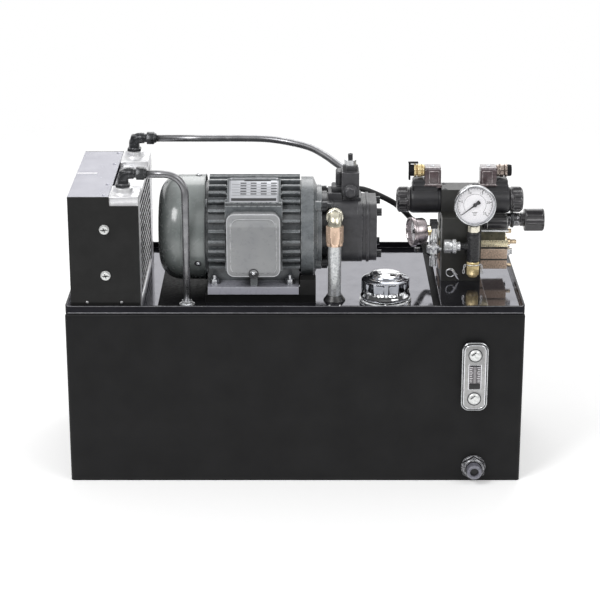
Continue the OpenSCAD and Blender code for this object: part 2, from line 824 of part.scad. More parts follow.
// Sheet cowl over the fan, with a round shoulder and an air grille in its back
module fan_cover() color(motor_grey) on_axis() translate([frame_back - cover_gap, 0, 0])
    rotate([0, -90, 0]) difference() {
        rotate_extrude() difference() {
            cowl_outline(fin_r, cover_l, cover_round);
            translate([0, -cover_t])
                cowl_outline(fin_r - cover_t, cover_l, cover_round - cover_t);
        }
        rod_z(cover_l - 2 * cover_t, cover_l + cut, 4);
        for (ring = [1 : 4], i = [0 : 6 * ring - 1]) rotate([0, 0, 360 * i / (6 * ring)])
            translate([ring * 11, 0, 0]) rod_z(cover_l - 2 * cover_t, cover_l + cut, 3.5);
    }
module cowl_outline(r, l, shoulder) {
    square([r, l - shoulder]);
    square([r - shoulder, l]);
    intersection() {
        translate([r - shoulder, l - shoulder]) circle(r = shoulder);
        translate([r - shoulder - cut, l - shoulder - cut]) square([shoulder + cut, shoulder + cut]);
    }
}

// Laminated stator with its end windings
module stator_core() color([0.5, 0.3, 0.2]) on_axis() difference() {
    union() {
        rod_x(frame_mid - core_len / 2, frame_mid + core_len / 2, frame_bore_r - gap);
        rod_x(frame_mid - core_len / 2 - winding_l, frame_mid + core_len / 2 + winding_l,
            frame_bore_r - 8);
    }
    rod_x(frame_mid - core_len, frame_mid + core_len, rotor_r + air_gap);
}

// Two ball bearings as plain rings
module motor_bearings() color(steel) on_axis() {
    difference() {
        rod_x(frame_front + 6, frame_front + 6 + front_bearing_w, front_bearing_r - gap);
        rod_x(frame_front, frame_front + 30, shaft_r + gap);
    }
    difference() {
        rod_x(frame_back - rear_bearing_w, frame_back, rear_bearing_r - gap);
        rod_x(frame_back - 30, frame_back + cut, tail_r + gap);
    }
}

// Rotor with its hollow shaft, which takes the pump shaft
module motor_rotor() color(steel) on_axis() difference() {
    union() {
        rod_x(frame_mid - core_len / 2, frame_mid + core_len / 2, rotor_r);
        rod_x(frame_mid, nose_x - 2, shaft_r);
        rod_x(frame_back - rear_bearing_w - cover_l + fan_tip_gap + 12, frame_mid, tail_r);
    }
    rod_x(nose_x - 38, nose_x, pump_shaft_r + gap);
}

// Cooling fan on the back of the motor shaft
module motor_fan() color(black) on_axis()
    translate([frame_back - rear_bearing_w - 12, 0, 0]) difference() {
        union() {
            rod_x(-fan_l, 0, fan_hub_r);
            rod_x(-3, 0, fin_r - 2 * fan_tip_gap - 8);
            for (i = [0 : fan_blades - 1]) rotate([360 * i / fan_blades, 0, 0])
                span([-fan_l + cut, -1.5, fan_hub_r - 3], [-cut, 1.5, fin_r - cover_t - fan_tip_gap]);
        }
        rod_x(-fan_l - cut, cut, tail_r);
    }

// Box for the terminals, open to the front, with a cable entry underneath
module terminal_box() color(motor_grey) translate([box_x, motor_y - box_pad_y, box_z])
    difference() {
        rotate([90, 0, 0]) round_plate(box_w - 8, box_h - 8, box_depth, box_corner_r - 2);
        span([-box_w / 2 + 4 + box_wall, -box_depth - cut, -box_h / 2 + 4 + box_wall],
            [box_w / 2 - 4 - box_wall, -box_wall, box_h / 2 - 4 - box_wall]);
        translate([0, -box_depth / 2, 0])
            rod_z(-box_h / 2, -box_h / 2 + 4 + box_wall + gap, gland_hole_r);
    }

// Lid of the terminal box, with a raised panel and a notch for its screw
module terminal_lid() color(motor_grey)
    translate([box_x, motor_y - box_pad_y - box_depth, box_z]) difference() {
        union() {
            rotate([90, 0, 0]) round_plate(box_w, box_h, box_lid_t, box_corner_r);
            translate([0, -box_lid_t + cut, 0]) rotate([90, 0, 0])
                round_plate(box_w - 14, box_h - 14, box_panel_t + cut, box_corner_r - 5);
        }
        translate([0, cut, 0]) rotate([90, 0, 0])
            round_plate(box_w - 20, box_h - 20, box_lid_t - 1, box_corner_r - 6);
        translate([0, 0, -box_h / 2 + 6])
            rod_y(-box_lid_t - box_panel_t - cut, -box_lid_t, 5.5);
    }

// Studs, nuts and washers that hold the motor's feet
module foot_bolts() color(zinc) foot_places() {
    rod_z(floor_z, foot_z + foot_t + stud_rise, stud_r);
    rod_z(foot_z + foot_t, foot_z + foot_t + 1.5, nut_af / 2 + 2);
    hex_z(foot_z + foot_t + 1.5, foot_z + foot_t + 1.5 + nut_h, nut_af);
}

// ---- pump ----
// Flange between the motor and the pump
module pump_adapter() color(black) on_axis() difference() {
    union() {
        rod_x(nose_x, pump_x, adapter_r);
        for (a = [45 : 90 : 315]) rotate([a, 0, 0])
            translate([0, 0, spigot_r - 2]) rod_x(nose_x, pump_x, 9);
    }
    rod_x(nose_x - cut, pump_x + cut, shaft_r + 2);
}

// Pump body with its chamber, suction port and front block
module pump_body() color(pump_grey) on_axis() difference() {
    union() {
        translate([pump_x, 0, 0]) rotate([0, 90, 0])
            round_plate(pump_size, pump_size, pump_l, pump_corner_r);
        translate([suction_x, 0, suction_z - axis_z])
            rod_y(-pump_size / 2 - suction_boss_h, -10, suction_boss_r);
        span([pump_x + 2, -block_w / 2, pump_size / 2 - block_in],
            [tower_x, block_w / 2, block_top - axis_z]);
    }
    rod_x(chamber_x, cover_x + cut, chamber_r);
    rod_x(pump_x - cut, chamber_x + cut, pump_shaft_r + gap);
    translate([suction_x, 0, suction_z - axis_z])
        rod_y(-pump_size / 2 - suction_boss_h - cut, -30, suction_r - elbow_wall - 1);
    pump_bolt_places() rod_x(cover_x - 16, cover_x + cut, pump_bolt_r);
    translate([tower_x + tower_l / 2, 0, 0])
        rod_z(chamber_r - 2, pump_size / 2 + cut, adjust_r + 2);
}
module pump_bolt_places() {
    for (sy = [-1, 1], sz = [-1, 1]) translate([0, sy * pump_bolt_at, sz * pump_bolt_at]) children();
}

// End cover that carries the tail of the pump shaft
module pump_cover() color(pump_grey) on_axis() difference() {
    translate([cover_x, 0, 0]) rotate([0, 90, 0])
        round_plate(pump_size - 3, pump_size - 3, end_cover_l, pump_corner_r);
    rod_x(cover_x + end_cover_l - end_recess, cover_x + end_cover_l + cut, end_recess_r);
    rod_x(cover_x - cut, cover_x + 11, pump_shaft_r + gap);
    pump_bolt_places() rod_x(cover_x - cut, cover_x + end_cover_l + cut, pump_bolt_r);
}

// Socket screws of the end cover
module pump_screws() color(black) on_axis() pump_bolt_places() difference() {
    union() {
        rod_x(cover_x - 16, cover_x + end_cover_l, pump_bolt_r);
        rod_x(cover_x + end_cover_l, cover_x + end_cover_l + pump_head_h, pump_head_r);
    }
    hex_x(cover_x + end_cover_l + pump_head_h / 2, cover_x + end_cover_l + pump_head_h + cut, 6);
}

// Control tower: pressure control housing with a front plug and a hexagon gland
module pump_control() color(pump_grey) translate([tower_x + tower_l / 2, motor_y, 0])
    difference() {
        union() {
            span([-tower_l / 2, -tower_w / 2, pump_top], [tower_l / 2, tower_w / 2, tower_top]);
            span([-tower_l / 2 + 2, -tower_w / 2 - 3, pump_top],
                [tower_l / 2 + 3, tower_w / 2 + 3, pump_top + 5]);
            translate([0, 0, tower_plug_z]) rod_y(-tower_w / 2 - 4, 0, tower_plug_r);
            hex_z(tower_top - cut, tower_top + tower_hex_h, tower_hex);
        }
        rod_z(tower_top - adjust_depth, tower_top + tower_hex_h + cut, adjust_r + gap);
        rod_z(pump_top - cut, pump_top + 12, adjust_r + 2);
    }

// Set screw that sets the pump's pressure
module adjust_screw() color(black) translate([tower_x + tower_l / 2, motor_y, 0]) difference() {
    rod_z(tower_top - adjust_depth + 4, tower_top + adjust_rise, adjust_r);
    hex_z(tower_top + adjust_rise - 5, tower_top + adjust_rise + cut, adjust_r);
}

// Cam ring that rises against its spring
module cam_ring() color(steel) on_axis() difference() {
    rod_x(chamber_x + 4, chamber_x + 4 + cam_l, cam_r);
    rod_x(chamber_x, chamber_x + cam_l + 6, cam_bore_r);
}

// Pump shaft and rotor, with loose vanes in its slots
module pump_rotor() color(steel) on_axis() {
    difference() {
        union() {
            rod_x(nose_x - 36, cover_x + 10, pump_shaft_r);
            rod_x(chamber_x + 5, chamber_x + 5 + rotor_l, pump_rotor_r);
        }
        vanes(vane_t + 2 * gap, 0, cut);
    }
    vanes(vane_t, gap, 0);
}
module vanes(thick, lift, over) {
    for (i = [0 : vane_count - 1]) rotate([360 * i / vane_count, 0, 0])
        span([chamber_x + 5 - over, -thick / 2, pump_rotor_r - 10 + lift],
            [chamber_x + 5 + rotor_l + over, thick / 2, pump_rotor_r + vane_out + over]);
}

// ---- oil lines ----
// Elbow from the pump's suction port down to the pipe
module suction_elbow() color(zinc) translate([suction_x, 0, suction_z]) difference() {
    union() {
        rod_y(suction_y, motor_y - pump_size / 2 - suction_boss_h, suction_r);
        hex_y(suction_y + 4, motor_y - pump_size / 2 - suction_boss_h, 2 * suction_r + 2);
        translate([0, suction_y, 0]) sphere(r = suction_r + 1);
        translate([0, suction_y, 0]) rod_z(-elbow_drop, 0, suction_r + 1);
    }
    rod_y(suction_y, motor_y, suction_r - elbow_wall);
    translate([0, suction_y, 0]) rod_z(-elbow_drop - cut, 0, suction_r - elbow_wall);
}

// Galvanised pipe from the elbow down into the strainer
module suction_pipe() color(zinc) translate([suction_x, suction_y, 0]) difference() {
    rod_z(strainer_z + strainer_h - 12, suction_z - elbow_drop, suction_r);
    rod_z(strainer_z + strainer_h - 13, suction_z, suction_r - pipe_wall);
}

// Rubber grommets where the suction pipe and the return tube pass the lid
module pipe_grommet() color(black) {
    grommet(suction_x, suction_y, suction_r);
    grommet(return_x, return_y, tube_r);
}
module grommet(x, y, r) translate([x, y, 0]) difference() {
    union() {
        translate([0, 0, floor_z])
            cylinder(h = r < tube_r + cut ? 2 : grommet_h, r1 = r + 6, r2 = r + 2.5);
        rod_z(tank_h - 2, floor_z + cut, r + 2);
    }
    rod_z(tank_h - 3, floor_z + grommet_h + cut, r);
}

// Route between two ends: shares of the way along X, Y and Z, and how far it bows out along Y
function route(start, end, shape) = [for (p = shape) [start[0] + p[0] * (end[0] - start[0]),
    start[1] + p[1] * (end[1] - start[1]) + p[3], start[2] + p[2] * (end[2] - start[2])]];

// Two steel tubes: the return from the cooler's front port and the case drain from the pump
drain_shape = [[0, 0, 0, 0], [0.242, 0, 0, 0], [0.471, 0, 0, 0], [0.593, 0.02, 0.03, 0],
    [0.706, 0.129, 0.125, 0], [0.81, 0.327, 0.25, 0], [0.89, 0.545, 0.53, 0],
    [0.945, 0.713, 0.813, 0], [0.985, 0.852, 0.969, 0], [1, 0.93, 1, 0],
    [1, 0.96, 1, 0], [1, 1, 1, 0]];
drain_start = [port_x + line_start, drain_y, line_z];
drain_end = [tower_x + 11, motor_y + tower_w / 2 + 17, axis_z + 85];
drain_route = route(drain_start, drain_end, drain_shape);
module cooler_tubes() color([0.45, 0.45, 0.47]) {
    swept_tube(drain_route, tube_r, 4, 12);
    bend_x = return_x - tube_bend_r;
    translate([0, return_y, 0]) {
        translate([0, 0, line_z]) rod_x(port_x + line_start, bend_x, tube_r);
        translate([bend_x, 0, line_z - tube_bend_r]) rotate([90, 0, 0])
            rotate_extrude(angle = 90) translate([tube_bend_r, 0]) circle(r = tube_r);
        translate([return_x, 0, 0]) difference() {
            rod_z(tank_h / 2, line_z - tube_bend_r, tube_r);
            rod_z(tank_h / 2 - cut, tank_h / 2 + line_bore, tube_r - line_wall);
        }
    }
}

// Elbows with their hexagon nuts on the cooler's two ports
module tube_elbows() color(black) {
    line_elbow(return_y, line_z);
    line_elbow(drain_y, line_z);
}
module line_elbow(y, z) translate([port_x, y, 0]) {
    elbow_r = tube_r + elbow_wall_t;
    hex_z(cooler_top + port_boss_h, cooler_top + port_boss_h + 4, 2 * elbow_r);
    rod_z(cooler_top + port_boss_h, z, elbow_r);
    translate([0, 0, z]) {
        sphere(r = elbow_r);
        rod_x(0, elbow_neck, elbow_r - 2);
        hex_x(line_nut_x, line_start - line_gap, 2 * elbow_r - 1);
        rod_x(elbow_neck - 4, line_start - line_gap, elbow_r - 3);
        rod_x(elbow_neck, line_nut_x + 2, elbow_r);
    }
}

// Pressure hose from the pump round the back of the coil to the manifold
hose_shape = [[0, 0, 0, 0], [0, 0, 0, 7], [0.007, 0, -0.009, 19], [0.055, 0, -0.009, 29],
    [0.164, 0, 0.009, 34], [0.329, 0, 0.094, 34], [0.548, 0, 0.255, 34], [0.712, 0, 0.462, 34],
    [0.822, 0, 0.689, 30], [0.884, 0.5, 0.877, 22], [0.918, 1, 0.972, 11], [0.952, 1, 1, 2],
    [0.972, 1, 1, 0], [0.986, 1, 1, 0], [1, 1, 1, 0]];
hose_start = [pump_x + 39, motor_y + pump_size / 2 + 17, axis_z + 37];
hose_end = [stack_left - 7, station_y + 8, manifold_z + 17];
hose_route = route(hose_start, hose_end, hose_shape);
module pressure_hose() color([0.05, 0.05, 0.05]) swept_tube(hose_route, hose_r, 4, 12);

// Steel fittings: hose ends, drain fitting, lock nut, manifold plugs, floor ring and test tee
module port_fittings() color(zinc) {
    translate([tower_x + tower_l / 2, motor_y, 0]) difference() {
        hex_z(tower_top + tower_hex_h, tower_top + tower_hex_h + lock_h, lock_af);
        rod_z(tower_top, tower_top + adjust_rise, adjust_r + gap);
    }
    translate([drain_end[0], 0, drain_end[2]]) {
        rod_y(motor_y + tower_w / 2, drain_end[1] - line_gap, tube_r + 1);
        hex_y(motor_y + tower_w / 2, motor_y + tower_w / 2 + 9, 2 * tube_r + 6);
    }
    translate([hose_start[0], 0, hose_start[2]]) {
        hex_y(motor_y + pump_size / 2, motor_y + pump_size / 2 + 8, 19);
        rod_y(motor_y + pump_size / 2, hose_start[1] - line_gap, hose_r + 2);
    }
    translate([0, hose_end[1], hose_end[2]]) {
        rod_x(hose_end[0] + line_gap, stack_left, hose_r + 2);
        hex_x(stack_left - 6, stack_left, 19);
    }
    translate([0, station_y - 14, throttle_z - 6]) {
        rod_x(stack_right, stack_right + 9, 6);
        hex_x(stack_right, stack_right + 5, 15);
    }
    translate([0, station_y - 12, throttle_z + 11]) rod_x(stack_right, stack_right + 14, 3);
    translate([side_x, side_y, 0]) {
        rod_z(side_z - side_block_h / 2 - 24, side_z - side_block_h / 2, 4);
        rod_z(side_z - side_block_h / 2 - 16, side_z - side_block_h / 2, 6.5);
        hex_z(tee_z - 6, tee_z + 6, 19);
        rod_z(tee_z - 29, tee_z, 4.5);
        rod_z(tee_z - 29, tee_z - 14, 6);
    }
    translate([0, side_y, tee_z]) rod_x(side_x, station_x - stand_w / 2, 3.5);
}

// Brass fittings: suction union, isolator nut, gauge stems and cable glands
module brass_fittings() color(brass) {
    translate([suction_x, suction_y, 0]) difference() {
        union() {
            hex_z(suction_z - elbow_drop - union_h + 5, suction_z - elbow_drop, 2 * suction_r + 3);
            rod_z(suction_z - elbow_drop - union_h, suction_z - elbow_drop - union_h + 5,
                suction_r + 2.5);
        }
        rod_z(suction_z - elbow_drop - union_h - cut, suction_z, suction_r);
    }
    translate([isolator_x, isolator_y, 0]) {
        hex_z(isolator_z - isolator_nut_h + 5, isolator_z, 2 * isolator_r);
        translate([0, 0, isolator_z - isolator_nut_h])
            cylinder(h = 5, r1 = isolator_r - 5, r2 = isolator_r);
        hex_z(isolator_z + isolator_h, isolator_z + isolator_h + stem_h, stem_af);
    }
    translate([side_x, side_y, side_z]) rotate([0, 0, side_turn])
        hex_y(-side_block_r - side_nut_l, -side_block_r, 16);
    for (s = [-1, 1]) translate([station_x, station_y, gland_z]) mirror([s > 0 ? 0 : 1, 0, 0]) {
        rod_x(coil_mid - plug_shift + plug_size / 2, coil_mid - plug_shift + plug_size / 2 + gland_l,
            gland_r);
        hex_x(coil_mid - plug_shift + plug_size / 2 + 4, coil_mid - plug_shift + plug_size / 2 + 10,
            2 * gland_r + 1);
    }
}

// ---- cooler ----
// Brazed aluminium core: two headers, flat tubes, fins and the port blocks on top
module cooler_core() color([0.8, 0.8, 0.82]) difference() {
    union() {
        for (s = [0, 1]) translate([0, s ? cooler_y1 - cooler_plate_t - header_d
                : cooler_y0 + cooler_plate_t, 0]) {
            span([core_x, 0, floor_z], [core_end_x, header_d, core_top]);
            translate([0, s ? header_d - port_block_d : 0, core_top - cut])
                span([core_x, 0, 0], [core_end_x, port_block_d, port_block_h + cut]);
        }
        for (y = [return_y, drain_y])
            translate([port_x, y, 0]) rod_z(cooler_top - cut, cooler_top + port_boss_h, port_boss_r);
        for (z = [floor_z, core_top - core_bar])
            span([core_x, cooler_y0 + header_d, z], [core_end_x, cooler_y1 - header_d, z + core_bar]);
        for (z = [floor_z + fin_pitch : fin_pitch : core_top - fin_pitch])
            span([core_x + 1, cooler_y0 + header_d, z],
                [core_end_x - 1, cooler_y1 - header_d, z + flat_tube_t]);
        span([core_x + 4, cooler_y0 + header_d, floor_z],
            [core_end_x - 3, cooler_y1 - header_d, core_top]);
    }
    translate([port_x, return_y, 0]) rod_z(cooler_top, cooler_top + 20, tube_r);
}

// Sheet shroud between the core and the fan
module cooler_shroud() color([0.55, 0.56, 0.6]) difference() {
    span([cooler_x, cooler_y0 + cooler_plate_t, floor_z], [core_x, cooler_y1 - cooler_plate_t, cooler_top]);
    span([cooler_x + shroud_wall, cooler_y0 + cooler_plate_t + shroud_wall, floor_z + shroud_wall],
        [core_x + cut, cooler_y1 - cooler_plate_t - shroud_wall, cooler_top - shroud_wall]);
    translate([0, cooler_mid_y, cooler_mid_z])
        rod_x(cooler_x - cut, cooler_x + shroud_wall + cut, cooler_fan_r + fan_hole_gap);
}

// Front and rear end plates with their flared feet
module cooler_plates() color(black) {
    end_plate(cooler_y0, 1);
    end_plate(cooler_y1, -1);
}
module end_plate(y, side) translate([0, y, 0]) mirror([0, side > 0 ? 0 : 1, 0]) difference() {
    union() {
        span([cooler_x, 0, floor_z + plate_foot_h],
            [core_end_x, cooler_plate_t, cooler_top - plate_notch_h]);
        span([cooler_x, 0, floor_z + plate_foot_h], [core_x + 1, cooler_plate_t, cooler_top]);
        translate([cooler_x, 0, floor_z]) rotate([90, 0, 90]) linear_extrude(core_end_x - cooler_x)
            polygon([[0, plate_foot_h], [-plate_foot_out, 0], [-plate_foot_out + 3, 0],
                [cooler_plate_t, plate_foot_h - 3], [cooler_plate_t, plate_foot_h + 1],
                [0, plate_foot_h + 1]]);
    }
    for (h = plate_screw_z) translate([core_x - plate_screw_in, 0, floor_z + h])
        rod_y(-cut, cooler_plate_t + cut, plate_screw_r);
}

// Round-head screws that hold the end plates to the shroud
module cooler_screws() color(zinc) for (side = [1, -1], h = plate_screw_z)
    translate([core_x - plate_screw_in, side > 0 ? cooler_y0 : cooler_y1, floor_z + h])
        mirror([0, side > 0 ? 0 : 1, 0]) difference() {
            union() {
                rod_y(0, cooler_plate_t, plate_screw_r);
                rod_y(-2, 0, plate_head_r);
                rod_y(-5, -2, plate_head_r - 1.5);
            }
            span([-plate_head_r, -6, -0.8], [plate_head_r, -3.5, 0.8]);
        }

// Wire guard with the fan's motor on its struts
module fan_guard() color([0.15, 0.15, 0.16]) translate([cooler_x - guard_wire_r, cooler_mid_y,
        cooler_mid_z]) {
    for (i = [1 : guard_rings]) rotate([0, 90, 0]) rotate_extrude()
        translate([cooler_motor_r + (guard_r - cooler_motor_r) * i / guard_rings, 0])
            circle(r = guard_wire_r, $fn = 24);
    for (a = [45 : 90 : 315]) rotate([a, 0, 0])
        span([-guard_wire_r, -3, 0], [guard_wire_r, 3, guard_r + 4]);
    rod_x(-guard_wire_r, cooler_motor_l, cooler_motor_r);
    rod_x(cooler_motor_l, cooler_motor_l + cooler_hub_l, cooler_spindle_r);
}

// Axial fan of the cooler
module cooler_fan() color(black) translate([cooler_x - guard_wire_r + cooler_motor_l + 2,
        cooler_mid_y, cooler_mid_z]) difference() {
    union() {
        rod_x(0, cooler_hub_l, cooler_hub_r);
        for (i = [0 : cooler_blades - 1]) rotate([360 * i / cooler_blades, 0, 0])
            translate([cooler_hub_l / 2, 0, cooler_hub_r - 3]) rotate([0, 0, 32])
                span([-1, -17, 0], [1, 17, cooler_fan_r - cooler_hub_r - 1]);
    }
    rod_x(-cut, cooler_hub_l - 2, cooler_spindle_r + gap);
}

// ---- valve station ----
// Block in front of the stack, on a base plate that the stack stands on
module valve_stand() color([0.12, 0.12, 0.11]) {
    stand_x0 = station_x - stand_w / 2;
    span([stand_x0, stand_front, platform_z], [stand_x0 + stand_w, manifold_front, stand_top]);
    span([stand_x0, manifold_front - cut, platform_z],
        [stand_x0 + stand_w, manifold_front + manifold_w, manifold_z]);
}

// Manifold with its two working ports in the back
module manifold() color([0.72, 0.6, 0.5]) difference() {
    span([stack_left, manifold_front, manifold_z],
        [stack_right, manifold_front + manifold_w, throttle_z]);
    for (s = [-1, 1]) translate([station_x + 18 + s * port_gap / 2, 0, manifold_z + manifold_h / 2])
        rod_y(manifold_front + manifold_w - port_l, manifold_front + manifold_w + cut, port_r);
}

// Throttle plate with a recessed foot
module throttle_plate() color([0.66, 0.6, 0.38]) {
    span([stack_left + 3, station_y - valve_w / 2 + 3, throttle_z],
        [stack_right - 3, station_y + valve_w / 2 - 3, throttle_z + 6]);
    span([stack_left, station_y - valve_w / 2, throttle_z + 5],
        [stack_right - 4, station_y + valve_w / 2, relief_z - 3]);
    span([stack_left, station_y - valve_w / 2, relief_z - 3],
        [stack_right, station_y + valve_w / 2, relief_z]);
}

// Relief plate with the cartridge that carries the knob
module relief_plate() color(black) {
    translate([(stack_left + stack_right) / 2, station_y, relief_z + relief_h / 2])
        rotate([90, 0, 0]) translate([0, 0, -valve_w / 2])
            round_plate(stack_right - stack_left, relief_h, valve_w, 5);
    translate([0, station_y, knob_z]) {
        rod_x(stack_right - cut, knob_x - 8, relief_neck_r);
        hex_x(stack_right + 6, stack_right + 15, relief_lock_af - 6);
        rod_x(knob_x - 9, knob_x + knob_l - 6, 5);
    }
}

// Lobed knob that sets the relief pressure
module relief_knob() color(black) translate([0, station_y, knob_z]) difference() {
    union() {
        rod_x(knob_x, knob_x + knob_l, knob_r);
        rod_x(knob_x - 7, knob_x, relief_neck_r + 1);
    }
    rod_x(knob_x - 8, knob_x + knob_l - 5, 5 + gap);
    for (i = [0 : 5]) rotate([60 * i, 0, 0])
        translate([0, 0, knob_r + 4]) rod_x(knob_x - cut, knob_x + knob_l + cut, 8);
}

// Directional valve body with the bore of the spool
module valve_body() color(black) translate([0, station_y, 0]) difference() {
    span([valve_x0, -valve_w / 2, valve_z], [valve_x1, valve_w / 2, valve_z + valve_body_h]);
    translate([0, 0, valve_axis_z]) rod_x(valve_x0 - cut, valve_x1 + cut, spool_r + gap);
    for (s = [-1, 1]) translate([station_x + s * 18, 0, valve_axis_z])
        rod_x(-4, 4, spool_r + 3);
}

// Spool with its push rods and the override pins at both ends
module valve_spool() color(steel) translate([station_x, station_y, valve_axis_z]) {
    rod_x(-coil_end + 12, coil_end - 12, rod_r);
    for (c = [-1, 0, 1]) translate([c * (valve_l / 2 - land_l - spool_travel), 0, 0])
        rod_x(-land_l / 2, land_l / 2, spool_r);
    rod_x(-coil_end + 1, -coil_end + 13, pin_r);
    rod_x(coil_end - 13, coil_end - 1, pin_r);
}

// Two solenoid coils, each with the seat of its plug on top
module solenoid_coils() color(black) translate([station_x, station_y, 0])
    for (s = [-1, 1]) mirror([s > 0 ? 0 : 1, 0, 0]) difference() {
        union() {
            translate([0, 0, valve_axis_z]) rod_x(valve_l / 2, valve_l / 2 + coil_l, coil_r);
            translate([0, 0, valve_axis_z])
                rod_x(valve_l / 2 + coil_l - 2, valve_l / 2 + coil_l, coil_r + 0.5);
            span([coil_mid - plug_shift - plug_size / 2, -plug_size / 2 - 1, valve_axis_z],
                [coil_mid - plug_shift + plug_size / 2 + 1, plug_size / 2 + 1, plug_z]);
        }
        translate([0, 0, valve_axis_z]) rod_x(0, valve_l + coil_l, coil_bore_r);
    }

// Lobed plastic nuts that hold the coils
module coil_nuts() color(black) translate([station_x, station_y, valve_axis_z])
    for (s = [-1, 1]) mirror([s > 0 ? 0 : 1, 0, 0]) {
        x0 = valve_l / 2 + coil_l;
        difference() {
            rod_x(x0, x0 + coil_nut_l, coil_r - 1);
            rod_x(x0 - cut, x0 + coil_nut_l + cut, coil_bore_r);
            for (i = [0 : 7]) rotate([45 * i + 22.5, 0, 0])
                translate([0, 0, coil_r]) rod_x(x0 + 3, x0 + coil_nut_l + cut, 3);
        }
    }

// Cable plugs on the coils, each with the end nut of its gland
module coil_plugs() color([0.16, 0.12, 0.12]) translate([station_x, station_y, 0])
    for (s = [-1, 1]) mirror([s > 0 ? 0 : 1, 0, 0]) translate([coil_mid - plug_shift, 0, 0]) {
        translate([0, 0, plug_z]) round_plate(plug_size, plug_size, plug_h, 3);
        translate([0, 0, gland_z])
            rod_x(plug_size / 2 + gland_l, plug_size / 2 + gland_l + 8, gland_r + 1);
    }

// ---- gauges ----
// Isolator valve: upright body on a stub from the stand, with the stem of its hand wheel
module gauge_isolator() color(black) {
    translate([isolator_x, isolator_y, 0]) {
        rod_z(isolator_z, isolator_z + isolator_h, isolator_r);
        translate([0, 0, wheel_z]) rod_y(0, stand_front - isolator_y, isolator_r - 3);
    }
    translate([0, isolator_y, wheel_z]) {
        rod_x(wheel_x0 + wheel_l, isolator_x, 6);
        rod_x(wheel_x0 + 4, wheel_x0 + wheel_l + cut, wheel_pin_r);
    }
}

// Hand wheel of the isolator: a hexagon grip with a flange
module isolator_wheel() color(zinc) translate([0, isolator_y, wheel_z]) difference() {
    union() {
        rod_x(wheel_x0, wheel_x0 + wheel_l - 1, wheel_r - 4);
        hex_x(wheel_x0 + 2, wheel_x0 + wheel_l - 9, 2 * wheel_r - 5);
        rod_x(wheel_x0 + wheel_l - 8, wheel_x0 + wheel_l - 0.3, wheel_r);
    }
    rod_x(wheel_x0 + 2, wheel_x0 + wheel_l + cut, wheel_pin_r + gap);
}

// Case with bezel and dial, facing the front; the face lies at y = 0
module gauge_case(r, depth, stem_down) difference() {
    union() {
        rod_y(bezel_t - 2, depth, r - bezel_rim);
        rod_y(0, bezel_t, r);
        if (stem_down) translate([0, depth / 2 + 2, 0]) rod_z(-r - 3, -r + bezel_rim + 4, stem_r);
    }
    rod_y(-cut, dial_depth, r - bezel_rim - 1);
    rod_y(0, dial_depth + 6, spindle_r + gap);
}

// Needle with its spindle, for a dial of the given radius
module gauge_pointer(r) {
    rod_y(dial_depth - dial_gap - needle_t, dial_depth + 5, spindle_r);
    translate([0, dial_depth - dial_gap - needle_t, 0]) {
        rod_y(0, needle_t, r * 0.11);
        rotate([0, -rest_angle, 0]) linear_extrude_y(needle_t)
            polygon([[-r * 0.3, -r * 0.05], [-r * 0.3, r * 0.05], [r * 0.72, 0.3], [r * 0.72, -0.3]]);
    }
}
module linear_extrude_y(h) rotate([90, 0, 0]) translate([0, 0, -h]) linear_extrude(h) children();
module at_gauge() {
    translate([isolator_x, isolator_y - gauge_depth / 2 - 2, gauge_z]) children();
}
module at_side_gauge() {
    translate([side_x, side_y, side_z]) rotate([0, 0, side_turn])
        translate([0, -side_block_r - side_nut_l - side_depth, 0]) children();
}

// Pressure gauge on the isolator
module pressure_gauge() color(chrome) at_gauge() gauge_case(gauge_r, gauge_depth, true);
module gauge_needle() color(black) at_gauge() gauge_pointer(gauge_r);

// Side gauge with its black angle block
module side_gauge() color(chrome) {
    at_side_gauge() gauge_case(side_r, side_depth, false);
    translate([side_x, side_y, side_z - side_block_h / 2]) rod_z(0, side_block_h, side_block_r);
}
module side_needle() color(black) at_side_gauge() gauge_pointer(side_r);

// Clear panes of the two gauges and the level gauge
module sight_windows() color([0.9, 0.95, 1, 0.4]) {
    at_gauge() rod_y(1.5, 3.5, gauge_r - bezel_rim - 1);
    at_side_gauge() rod_y(1.5, 3.5, side_r - bezel_rim - 1);
    translate([level_x, front_y, level_z])
        span([-level_window[0] / 2, -level_t + level_recess + 0.5, -level_window[1] / 2],
            [level_window[0] / 2, -level_back - 3, level_window[1] / 2]);
}

tank_body();
lid_tray();
lid_screws();
level_gauge_frame();
level_gauge_bolts();
drain_plug();
filler_neck();
tank_strainers();
filler_cap();
motor_riser();
motor_frame();
motor_front_shield();
motor_rear_shield();
fan_cover();
stator_core();
motor_bearings();
motor_rotor();
motor_fan();
terminal_box();
terminal_lid();
foot_bolts();
pump_adapter();
pump_body();
pump_cover();
pump_screws();
pump_control();
adjust_screw();
cam_ring();
pump_rotor();
suction_elbow();
suction_pipe();
pipe_grommet();
cooler_tubes();
tube_elbows();
pressure_hose();
port_fittings();
brass_fittings();
cooler_core();
cooler_shroud();
cooler_plates();
cooler_screws();
fan_guard();
cooler_fan();
valve_stand();
manifold();
throttle_plate();
relief_plate();
relief_knob();
valve_body();
valve_spool();
solenoid_coils();
coil_nuts();
coil_plugs();
gauge_isolator();
isolator_wheel();
pressure_gauge();
gauge_needle();
side_gauge();
side_needle();
sight_windows();
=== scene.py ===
# Dresses the hydraulic power unit: a finish for each solid, and the small pieces that they leave out.
# Metres, in the frame of the solids: X along the tank, Y from front to back, Z up.
import json
from itertools import product
from math import atan2, cos, pi, radians, sin, sqrt
import bmesh
import bpy
from mathutils import Matrix, Vector


